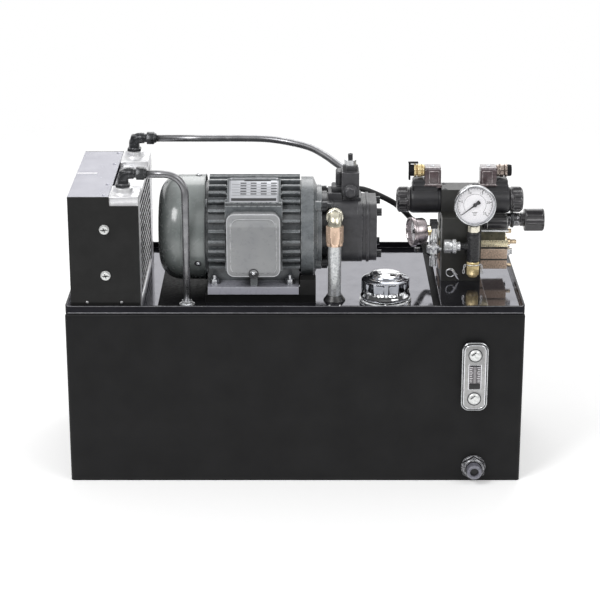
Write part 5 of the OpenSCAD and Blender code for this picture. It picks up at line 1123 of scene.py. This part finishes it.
joints = {joint["name"]: joint for joint in frame["record"]["behaviour"]["joints"]}
dial = {"sweep": 260, "start": 218, "majors": 6, "minors": 5, "numbers": ("0", "5", "10", "15", "20", "25"),
    "deep": 8.6, "wall": 3.6, "arcSteps": 52, "arcs": ((2.1, 0.6), (12.6, 0.5)), "fullSize": 35, "needle": 0.86,
    "longFrom": 30, "long": (4.2, 1), "short": (2.2, 0.55), "ticksIn": 2.4, "figure": (5.8, 9.2),
    "print": (9, 0.8, 13, 2.4), "ink": 0.1,
    "back": [(-8, 0), (-4.5, 1), (-3, 3.5)], "lip": [(0.3, -0.9), (0, -2.2), (-0.4, -2.6)],
    "bezel": [(-3, -8), (-0.8, -7.4), (0, -6.4), (0, -2.4), (-0.5, -1), (-1.6, -0.2), (-2.6, -0.2)],
    "hub": [(0, 2.2), (1.4, 2.1), (3, 1.3), (3.4, 0), (3.4, -2.2), (0, -2.2)],
    "tail": [(8, -1.1), (0, -1.5), (-3, -1.4), (-5, -3.2), (-9.4, -3.6), (-10.4, 0), (-9.4, 3.6), (-5, 3.2),
        (-3, 1.4)]}
gaugeStem = {"in": 11, "outline": [(0, -3), (6.4, -3), (6.4, 0), (9, 0.6), (10.5, 2), (10.5, 7), (0, 7)]}
gaugePlug = {"in": 3.4, "outline": [(0, 4), (4, 3.6), (5, 2), (5.4, 0), (0, 0)]}
sideValve = {"rise": 7.5, "depth": 26, "block": (13, 13, 14), "blockOver": 10.4, "nutFrom": 5.6,
    "levers": {(6.6, 12, 24, 2.4, 0.8, 3): (-3.4, -1, -3), (4.6, 11, 24, 2, 0.8, 3): (3.8, -1, -3)},
    "lobes": (4, 9.9, 6.4, 4.4, 0.2, 5.8, 0.5), "starAt": (-0.6, -9.4, -9),
    "nut": [(0, 10), (6.8, 10), (7.6, 9.2), (7.6, 5.4), (6.6, 4.6), (6.6, 0), (0, 0)],
    "star": [(0, 6), (4, 6), (9.4, 5), (9.9, 4), (9.9, 1.6), (9.2, 0.6), (7, 0), (0, 0)]}


def figure(text, size):
    curve = bpy.data.curves.new("figure", "FONT")
    curve.body = text
    curve.size = size
    curve.align_x = "CENTER"
    curve.align_y = "CENTER"
    curve.extrude = 0.05
    curve.resolution_u = 3
    return meshOf(curve)


def makeGauge(side, node, needleNode, finishName, centre, outward, radius, depth):
    lie = facing(up.cross(outward), up, outward)
    deep, start, sweep = dial["deep"], dial["start"], dial["sweep"]
    inner = radius - dial["wall"]
    level = -deep - 0.15
    scale = radius / dial["fullSize"]

    def spot(x, y):
        return centre + lie.to_3x3() @ Vector((x, y, level))

    def at(angle, reach):
        return spot(cos(radians(angle)) * reach, sin(radians(angle)) * reach)

    outline = [(0, -depth), *moved(dial["back"], radius, -depth), *moved(dial["bezel"], radius),
        *moved(dial["lip"], inner), (inner - 0.4, -deep - 1.2), (0, -deep - 1.2)]
    build(side + "GaugeCase", finishName, "chrome", [(turned(outline, 96), centre, lie)], instead=[node])
    plate = rod(inner - 0.5, 1, 0.1, 96)
    build(side + "GaugeDial", "glowingDialWhite", "chrome", [(plate, centre - outward * (deep + 1.2), lie)])
    marks = []
    steps = (dial["majors"] - 1) * dial["minors"]
    for step in range(steps + 1):
        angle = start - sweep * step / steps
        length, thick = dial["short" if step % dial["minors"] else "long"]
        tick = block((length * scale, thick * scale, 0.12), 0)
        marks.append((tick, at(angle, inner - dial["ticksIn"] * scale - length * scale / 2), lie, angle))
    for inward, width in dial["arcs"]:
        reach = inner - inward * scale
        arc = bmesh.new()
        pairs = []
        for step in range(dial["arcSteps"] + 1):
            angle = radians(start - sweep * step / dial["arcSteps"])
            radii = (reach, reach - width * scale)
            pairs.append([arc.verts.new((cos(angle) * r, sin(angle) * r, 0)) for r in radii])
        for first, second in zip(pairs, pairs[1:]):
            arc.faces.new((first[0], second[0], second[1], first[1]))
        bmesh.ops.solidify(arc, geom=arc.faces[:], thickness=dial["ink"])
        marks.append((arc, centre + outward * level, lie))
    size, inward = dial["figure"]
    for index, text in enumerate(dial["numbers"]):
        angle = start - sweep * index / (dial["majors"] - 1)
        marks.append((figure(text, size * scale), at(angle, inner - inward * scale), lie))
    longest, high, down, less = dial["print"]
    for index in range(3):  # lines of small print
        line = block(((longest - less * index) * scale, high * scale, dial["ink"]), 0)
        marks.append((line, spot(0, (-down - less * index) * scale), lie))
    build(side + "GaugeMarks", "printBlack", "black_plastic", marks)
    tip = inner * dial["needle"] / (scale if radius > dial["longFrom"] else 1)
    shape = [(0, 1.5), (8, 1.1), (tip, 0.45), (tip, -0.45), *dial["tail"]]
    pointer = bmesh.new()
    face = pointer.faces.new([pointer.verts.new((x * scale, y * scale, 0)) for x, y in shape])
    bmesh.ops.solidify(pointer, geom=[face], thickness=0.7)
    parts = [(pointer, centre + outward * (level + 2.6), lie, start)]
    parts.append((turned(dial["hub"], 32), centre + outward * (level + 2.4), lie))
    build(side + "Needle", "printBlack", "black_plastic", parts, body=needleNode, instead=[needleNode])


def makeMainGauge():
    low, high, middle = boxOf("pressure_gauge")
    radius, depth = (high.x - low.x) / 2, high.y - low.y
    centre = Vector((middle.x, low.y, high.z - radius))
    makeGauge("main", "pressure_gauge", "gauge_needle", "gaugeChrome", centre, front, radius, depth)
    plug = turned(gaugePlug["outline"], 24)
    place = centre - front * (depth / 2) + up * (radius - gaugePlug["in"])
    build("mainGaugePlug", "mouldedBlack", "black_plastic", [(plug, place)])
    place = (middle.x, boxOf("gauge_isolator")[0].y + gaugeStem["in"], low.z)
    build("mainGaugeStem", "gaugeChrome", "chrome", [(turned(gaugeStem["outline"], 32), place)])


def makeSideGauge():
    turn = joints["side_read"]
    outward = -Vector(turn["axis"]).normalized()
    low, high, _ = boxOf("side_gauge")
    anchor = Vector(turn["pos_m"]) / mm
    nearest = min((Vector(v.co) / mm - anchor).dot(-outward) for v in nodes["side_gauge"].data.vertices)
    centre, radius = anchor - outward * nearest, high.z - anchor.z
    makeGauge("side", "side_gauge", "side_needle", "gaugeDarkReflection", centre, outward, radius, sideValve["depth"])
    parts = [(block(sideValve["block"], 1.2, 3), anchor + up * sideValve["blockOver"])]
    parts.append((turned(sideValve["nut"], 36), anchor + outward * sideValve["nutFrom"], outward))
    build("sideValveBody", "fittingBlack", "black_oxide", parts)
    foot = Vector((anchor.x, anchor.y, low.z + sideValve["rise"]))
    parts = [(roundPlate(*size), foot + Vector(place)) for size, place in sideValve["levers"].items()]
    star = lobed(turned(sideValve["star"], 96), *sideValve["lobes"])
    parts.append((star, foot + Vector(sideValve["starAt"]), front))
    build("sideValveLever", "zincWhite", "zinc", parts)


makeMainGauge()
makeSideGauge()
print("gauges dressed")

coil = {"radius": 23, "nutRadius": 22, "lobes": 8, "bite": 6.4, "lobeDepth": 3.6, "seatFrom": 26,
    "seat": (46, 30, 13.5, 5, 2.4, 3), "step": (44, 26, 9, 4, 1.6, 3), "ledge": (17, 24, 8, 3, 1.2, 3),
    "ledgeSlope": 0.3, "seatDown": 6, "stepUp": 5, "ledgeAt": (13, 9),
    "base": [(-2, -0.5), (-0.5, 0.6), (-0.2, 2.4), (-0.8, 3), (-0.8, 4.2), (0, 5)],
    "end": [(0, -7), (-0.5, -3.8), (-1.9, -1.4), (-4, -0.3), (-6, 0)],
    "nutHub": [(0, -3), (11, -3), (11.8, 0), (15, 0), (18, -1), (20.4, -3)],
    "nutFoot": [(0, 3.6), (-0.6, 2.4), (-1.4, 1.8), (-1.4, 0)]}


def makeCoils():
    low, _, middle = boxOf("solenoid_coils")
    valveLow, valveHigh, _ = boxOf("valve_body")
    length, nutLength = valveLow.x - low.x, low.x - boxOf("coil_nuts")[0].x
    radius, nutRadius = coil["radius"], coil["nutRadius"]
    outline = [(0, -0.5), *moved(coil["base"], radius), *moved(coil["end"], radius, length), (0, length)]
    band = [(nutRadius, nutLength - 5 - step * (nutLength - 9) / 10) for step in range(11)]
    nut = [*moved(coil["nutHub"], 0, nutLength), *band, *moved(coil["nutFoot"], nutRadius), (0, 0)]
    lobes = (coil["lobes"], nutRadius, coil["bite"], coil["lobeDepth"], 3.4, nutLength - 2, 3)
    coils, nuts = [], []
    for side, end in ((-1, valveLow), (1, valveHigh)):
        outward = right * side
        start = Vector((end.x, middle.y, low.z + radius + 0.5))
        seat = start + outward * coil["seatFrom"] + up * (radius - 1)
        ledge = roundPlate(*coil["ledge"])
        out, rise = coil["ledgeAt"]
        for vert in ledge.verts:
            if vert.co.z > 4:
                vert.co.z -= max(0, vert.co.x * side + 1) * coil["ledgeSlope"]
        coils += [
            (turned(outline, 72), start, outward),
            (roundPlate(*coil["seat"]), seat - up * coil["seatDown"]),
            (roundPlate(*coil["step"]), seat + up * coil["stepUp"]),
            (ledge, seat + outward * out + up * rise),
        ]
        nuts.append((lobed(turned(nut, 160), *lobes), start + outward * length, outward))
    build("coils", "mouldedBlack", "black_plastic", coils, instead=["solenoid_coils"])
    build("coilNuts", "mouldedGloss", "black_plastic", nuts, instead=["coil_nuts"], smooth=30)


plug = {"block": (28, 27, 36), "foot": (31, 30, 6), "fromMiddle": 47, "lineDrop": 10, "glandLong": 18,
    "cap": (10, 8), "knurl": (12, 2.4, 0.7), "strap": (3.2, 9, 29, 1.2, 0.5), "tab": (17, 7.5, 2.2, 2, 0.5),
    "screw": [(0, 1), (1.6, 1), (1.6, 1.6), (3.1, 1.6), (3.8, 0.8), (3.8, 0), (0, 0)]}


def makePlugs():
    low, high, middle = boxOf("coil_plugs")
    valveMiddle = boxOf("valve_body")[2]
    width, depth, height = plug["block"]
    radius, length = plug["cap"]
    hole = radius - 4.4
    outline = [(hole, length - 3), (hole, length - 0.1), (radius - 1.4, length - 0.1),
        (radius - 0.4, length - 1.2), (radius, 4), (radius, 1), (radius - 0.6, 0), (0, 0), (0, length - 3),
        (hole, length - 3)]
    toGland = width / 2 + plug["glandLong"] - 0.5
    ridges, bite, deep = plug["knurl"]
    bodies, lids, caps, screws = [], [], [], []
    for side in (-1, 1):
        place = Vector((valveMiddle.x + side * plug["fromMiddle"], middle.y, low.z))
        rib = block((width - 12, depth + 1.6, height - 15), 1.2)
        bodies += [
            (block((width, depth, height - 4), 2.4, 3), place + up * ((height - 4) / 2)),
            (block(plug["foot"], 1.6, 3), place + up * 3.4),
            (rib, place + up * (height / 2 + 1) - right * side * 2),
        ]
        lids.append((roundPlate(width - 0.6, depth - 0.6, 4, 4, 1.2, 3), place + up * (height - 4.2)))
        screws.append((turned(plug["screw"], 24), place + up * (height - 0.6)))
        end = Vector((place.x + side * toGland, middle.y, high.z - plug["lineDrop"]))
        cap = lobed(turned(outline, 96), ridges, radius, bite, deep, 0.4, length - 0.6, 1)
        caps.append((cap, end, right * side))
        if side < 0:  # a strap holds the left cap
            caps.append((roundPlate(*plug["strap"]), end - right * 7.4 - up * 16))
            caps.append((roundPlate(*plug["tab"]), end - right * 1.4 + up * 12.4))
    build("plugBodies", "plugSmoke", "plug_plastic", bodies, instead=["coil_plugs"])
    build("plugLids", "plugLid", "plug_plastic", lids)
    build("plugCaps", "rubberBlack", "black_plastic", caps)
    build("plugScrews", "zincBright", "zinc", screws)


gland = {"fromMiddle": 61, "sides": {"glandLeft": (-1, "brassTurned"), "glandRight": (1, "nickelBrown")},
    "rings": ((0.2, 3.4, 10.4), (5.4, 6.6, 11.1), (13.6, 4.2, 11.1))}  # start, length, radius


def makeGlands():
    level = boxOf("coil_plugs")[1].z - plug["lineDrop"]
    middle = boxOf("valve_body")[2]
    for name, (side, finishName) in gland["sides"].items():
        outward = right * side
        start = Vector((middle.x + side * gland["fromMiddle"], middle.y, level))
        parts = []
        for reach, length, radius in gland["rings"]:
            outline = [(6, 0), (radius - 0.8, 0), (radius, 0.7), (radius, length - 0.7),
                (radius - 0.8, length), (6, length), (6, 0)]
            knurled = lobed(turned(outline, 120), 30, radius, 0.9, 0.25, 0.3, length - 0.3, 0.4)
            parts.append((knurled, start + outward * reach, outward))
        build(name, finishName, "brass", parts)


stack = {"strip": (383.4, 3.4, 1.4, 0.5), "flange": (356.4, 11.6, 1, 0.5), "seam": (351.4, 4.6, 0.4, 0.2),
    "groove": (333.2, 2.8, 0.4, 0.2)}  # foot, height, growth, edge
stackScrews = {"across": (26.5, 17), "top": (4.4, 3.4), "side": (4, 4),
    "long": [(0, 15.6), (3, 15.6), (3.6, 14.8), (3.6, 5), (5.2, 5), (5.6, 4.4), (5.6, 0), (0, 0)],
    "short": [(0, 9), (3.4, 9), (4, 8.2), (4, 0), (0, 0)],
    "small": [(0, 8), (2.6, 8), (3.2, 7.2), (3.2, 0), (0, 0)]}


def stackBand(name, node):
    foot, tall, grow, edge = stack[name]
    low, high, _ = boxOf(node)
    size = (high.x - low.x + grow, high.y - low.y + 2 * grow, tall)
    return block(size, edge), ((low.x + high.x + grow) / 2, (low.y + high.y) / 2, foot + tall / 2)


def makeStack():
    build("stackStrip", "zincWhite", "zinc", [stackBand("strip", "throttle_plate")])
    build("stackFlange", "goldBright", "gold_zinc", [stackBand("flange", "throttle_plate")])
    seams = [stackBand("seam", "throttle_plate"), stackBand("groove", "manifold")]
    build("stackSeams", "seamBlack", "black_oxide", seams)
    low, high, _ = boxOf("throttle_plate")
    baseLow, baseHigh, baseMiddle = boxOf("manifold")
    _, valveHigh, valveMiddle = boxOf("valve_body")
    across, along = stackScrews["across"]
    heads = []
    for x, y in corners:
        place = (valveMiddle.x + x * across, valveMiddle.y + y * along, valveHigh.z - 2.6)
        heads.append(socketHead(place, up, *stackScrews["top"]))
    for z in (baseLow.z + 7, baseHigh.z - 9):
        heads.append(socketHead((baseHigh.x, baseMiddle.y + 20, z), right, *stackScrews["side"]))
    build("stackScrews", "fittingBlack", "black_oxide", heads)
    level = stack["flange"][0] + 7.4
    places = {"long": (high.x, low.y + 6, level), "short": (high.x, low.y + 30, level + 12),
        "small": (high.x, baseLow.y + 8, baseLow.z + 4.4)}
    bolts = [(turned(stackScrews[key], 28), place, right) for key, place in places.items()]
    build("stackBolts", "boltBronze", "gold_zinc", bolts)


relief = {"barrel": [(0, 44), (9.6, 44), (11.2, 42.6), (11.8, 40), (11.8, 5), (11, 2), (8.6, 0.3), (0, 0)],
    "band": [(10, 0), (12.1, 0), (12.3, 0.5), (12.1, 1.1), (10, 1.1), (10, 0)], "bandsAt": (7, 40.4),
    "inside": 43, "in": 4.6, "threads": 8, "threadFrom": 1.4, "lobes": (5, 10, 6.2), "nut": (25.5, 5.4),
    "nutFrom": 4.4, "collar": 7,
    "foot": [(5.4, 0.4), (10.6, 0), (11.8, 1), (11.8, 6), (12.6, 6.8)],
    "end": [(-0.8, -1.4), (-2.6, -0.2), (-5, 0)]}


def makeRelief():
    low = boxOf("relief_plate")[0]
    knobLow, knobHigh, knobMiddle = boxOf("relief_knob")
    stackEnd = boxOf("manifold")[1].x
    start = Vector((stackEnd - relief["inside"], low.y + relief["in"], knobMiddle.z))
    build("reliefBarrel", "mouldedGloss", "black_oxide", [(turned(relief["barrel"], 56), start, right)])
    # steel bands at the barrel's ends, set there as painted highlights along its end edges
    bands = [(turned(relief["band"], 56), start + right * reach, right) for reach in relief["bandsAt"]]
    build("reliefHighlightBands", "gaugeSatin", "steel", bands)
    place = Vector((stackEnd + relief["threadFrom"], knobMiddle.y, knobMiddle.z))
    span = knobLow.x - place.x - 1.2
    pitch = span / relief["threads"]
    outline = [(9.4, 0)]
    for step in range(relief["threads"]):
        outline += [(11.9, (step + 0.3) * pitch), (11.9, (step + 0.6) * pitch), (10.4, (step + 1) * pitch)]
    outline += [(9.4, span), (9.4, 0)]
    build("reliefThread", "threadSilver", "steel", [(turned(outline, 56), place, right)])
    nut = hexagon(*relief["nut"], 1)
    place += right * relief["nutFrom"]
    build("reliefLockNut", "fittingBlack", "black_oxide", [(nut, place, right)])
    length, radius = knobHigh.x - knobLow.x, (knobHigh.y - knobLow.y) / 2
    collar = relief["collar"]
    outline = [*relief["foot"], (radius - 2.6, collar), (radius - 0.6, collar + 0.8)]
    outline += [(radius, collar + 2.2 + step * (length - collar - 5) / 14) for step in range(15)]
    outline += [*moved(relief["end"], radius, length), (11, length), (10, length - 1.4), (0, length - 1.4)]
    lobes, bite, deep = relief["lobes"]
    knob = lobed(turned(outline, 200), lobes, radius, bite, deep, collar + 0.2, length + 0.1, 2.6)
    parts = [(knob, (knobLow.x, knobMiddle.y, knobMiddle.z), right, 52)]
    build("reliefKnob", "mouldedGloss", "black_plastic", parts, body="relief_knob", instead=["relief_knob"],
        smooth=30)


wheel = {"nut": (20.4, 12.5), "ridges": (24, 12, 1.1, 0.5, 13.8, 20.2, 0.6),
    "knurl": [(0, 21), (8.6, 21), (11, 20.4), (12, 19.4), (12, 14.6), (11, 13.6), (8.4, 13), (8.4, 12),
        (0, 12)]}
isolatorBody = {"block": (16, 14, 22), "blockBack": 12,
    "crown": [(0, 0), (9, 0), (10.4, -0.8), (11, -2), (11, -6), (10.5, -6.5), (10.5, -8), (11, -8.5)],
    "foot": [(11, 7), (10.5, 6.4), (10.5, 5), (11, 4.4), (11, 1.4), (10.2, 0), (0, 0)]}
clips = {"reach": 12.6, "bow": [(12.6, -3), (9, -10.2), (0, -13), (-9, -10.2), (-12.6, -3)],
    "side": [(0, 9), (3.4, 6.4), (3, 1), (0.6, -4), (2.4, -8.6), (4.6, -6.4), (4, -1), (1.4, 3.4), (-0.8, 6)]}
standRing = {"radius": 7.4, "in": 15.6, "down": 12.5, "tails": (
    (1, [(2, 5.4, 1.8), (5, 1, 2.2), (8.4, -4, 2), (11.4, -10.4, 1.2)]),
    (0.8, [(5.8, 3, 1.6), (8.6, -2, 2), (11, -7, 2), (14, -12.4, 1.2)]),
    (0.8, [(-7.4, 3.4, 2.4), (-1, 9.4, 2.8), (7, 2, 2.8), (11.6, -3.4, 2.6)]))}


def makeIsolator():
    low, high, _ = boxOf("gauge_isolator")
    wheelLow, wheelHigh, wheelMiddle = boxOf("isolator_wheel")
    start = Vector((wheelLow.x, wheelMiddle.y, wheelMiddle.z))
    centre = Vector((high.x - isolator["radius"], wheelMiddle.y, low.z))
    height = high.z - low.z
    stemLow = wheelHigh.x - 1
    stem = [(0, centre.x - stemLow), (6.6, centre.x - stemLow), (6.6, 10), (5.4, 9), (5.4, 0), (0, 0)]
    parts = [
        (turned(moved(isolatorBody["crown"], 0, height) + isolatorBody["foot"], 56), centre),
        (turned(stem, 32), (stemLow, wheelMiddle.y, wheelMiddle.z), right),
        (block(isolatorBody["block"], 1.4, 3), centre - front * isolatorBody["blockBack"] + up * height / 2),
    ]
    build("isolatorBody", "isolatorBlack", "black_oxide", parts, instead=["gauge_isolator"])
    length = wheelHigh.x - wheelLow.x
    end = [(0, length), (7.6, length), (8, length - 0.8), (8, 20.6), (0, 20.6)]
    knurled = lobed(turned(wheel["knurl"], 144), *wheel["ridges"])
    parts = [(hexagon(*wheel["nut"], 1.4), start, right, 14)]
    parts += [(part, start, right) for part in (knurled, turned(end, 40))]
    build("isolatorWheel", "zincWhite", "zinc", parts, body="isolator_wheel", instead=["isolator_wheel"])
    nutMiddle = centre - up * isolator["nutDrop"]
    loops = []
    for side in (-1, 1):
        spot = nutMiddle + right * side * clips["reach"]
        loops.append([spot + Vector((side * a, -3, b)) for a, b in clips["side"]])
    loops.append([nutMiddle + up * 8.6 + Vector((a, b, 0)) for a, b in clips["bow"]])
    build("isolatorClips", "zincWhite", "zinc", [(wire(loop, 0.8),) for loop in loops])


def makeStandRing():
    corner = boxOf("valve_stand")[0]
    level = boxOf("gauge_isolator")[0].z - isolator["nutDrop"] - standRing["down"]
    place = Vector((corner.x + standRing["in"], corner.y, level))
    radius = standRing["radius"]
    points = [(cos(radians(30 * step)) * radius, sin(radians(30 * step)) * radius, 1) for step in range(12)]
    wires = [wire(points, 0.85, closed=True), *[wire(tail, thick) for thick, tail in standRing["tails"]]]
    build("standRing", "zincWhite", "zinc", [(part, place, front) for part in wires])


makeCoils()
makePlugs()
makeGlands()
makeStack()
makeRelief()
makeIsolator()
makeStandRing()
print("valve station dressed")

lidTrim = {"screw": 2.2, "screwsAt": (-9, 8), "plateScrew": 2.6, "plateScrewsAt": (-30, 26), "platform": 77,
    "seal": 11, "grommet": [(11.2, 9.4), (12.6, 9.6), (13.2, 8.8), (14, 7), (17.2, 2.6), (18.2, 1.2),
        (18.2, 0.1), (11.2, 0.1), (11.2, 9.4)]}
lip = {"bottom": (1.4, 0.9), "top": (-0.5, 0.45), "shorter": 4, "sideFrom": 6}  # lift, radius


def makeLidTrim():
    trayLow, trayHigh, trayMiddle = boxOf("lid_tray")
    pipe = boxOf("suction_pipe")[2]
    plateLow, _, plateMiddle = boxOf("cooler_plates")
    parts = []
    for x in lidTrim["screwsAt"]:
        parts += crossHead((pipe.x + x, trayLow.y + 4, trayHigh.z - 0.1), up, lidTrim["screw"], 20 * x)
    for x in lidTrim["plateScrewsAt"]:
        place = (plateMiddle.x + x, plateLow.y + 3.6, plateLow.z + 14)
        parts += crossHead(place, (0, -0.97, 0.24), lidTrim["plateScrew"], x)
    build("trimScrews", "groundSteel", "zinc", parts)
    drop = returnDrop()
    rings = [(turned(lidTrim["grommet"], 56), (pipe.x, pipe.y, drop.z)), (turned(returnLine["seal"]), drop)]
    build("pipeGrommets", "rubberGloss", "rubber", rings, instead=["pipe_grommet"])
    # a matt black strip on the lid along the platform's left edge, and a thin one up that edge: painted shade
    # and reflection of the platform's raised edge
    width, depth = lidTrim["seal"], trayHigh.y - trayLow.y - 6.4
    edge = boxOf("valve_stand")[2].x - 3 - lidTrim["platform"] / 2
    edgeShades = [
        (block((width, depth, 0.8), 0.3), (edge - width / 2 + 0.2, trayMiddle.y, drop.z + 0.4)),
        (block((0.6, depth, 8.6), 0.2), (edge - 0.2, trayMiddle.y, drop.z + 4.6)),
    ]
    build("platformEdgeShade", "rubberBlack", "rubber", edgeShades)


# bright rods along the lid's lip edges: painted highlights
def makeLipHighlights():
    low, high, _ = boxOf("lid_tray")
    (lift, thick), (drop, thin) = lip["bottom"], lip["top"]
    shorter, sideFrom = lip["shorter"], lip["sideFrom"]
    lines = []
    for z, radius in ((low.z + lift, thick), (high.z + drop, thin)):
        line = rod(radius, high.x - low.x - 2 * shorter, 0.2, 12)
        lines.append((line, (low.x + shorter, low.y - 0.1 + radius * 0.2, z), right))
    for x in (low.x, high.x):
        line = rod(thin, high.y - low.y - 2 * sideFrom, 0.2, 12)
        lines.append((line, (x, high.y - sideFrom, high.z + drop), front))
    build("lipHighlightLines", "lipHighlight", "black_paint", lines)


def islandBoxes(node):  # the low and high corner of each loose shell of a solid
    bm = mergedCopy(node)
    left = set(bm.verts)
    boxes = []
    while left:
        found = [left.pop()]
        for vert in found:
            for edge in vert.link_edges:
                other = edge.other_vert(vert)
                if other in left:
                    left.remove(other)
                    found.append(other)
        ends = [[pick(v.co[axis] for v in found) / mm for axis in range(3)] for pick in (min, max)]
        boxes.append([Vector(end) for end in ends])
    bm.free()
    return sorted(boxes, key=lambda pair: tuple(pair[0]))


def makeScrewRecessShades():  # a black cross on each of the cooler's front screws: painted shade of the cross recess
    marks = []
    for low, high in islandBoxes("cooler_screws"):
        if high.y <= 0:
            spot = ((low.x + high.x) / 2, low.y - 0.05, (low.z + high.z) / 2)
            marks += [(block((7.4, 1.5, 0.3), 0.1, 1), spot, front, turn) for turn in (20, 110)]
    build("coolerScrewRecessShade", "printBlack", "black_oxide", marks)


makeLidTrim()
makeLipHighlights()
makeScrewRecessShades()
print("trim done")
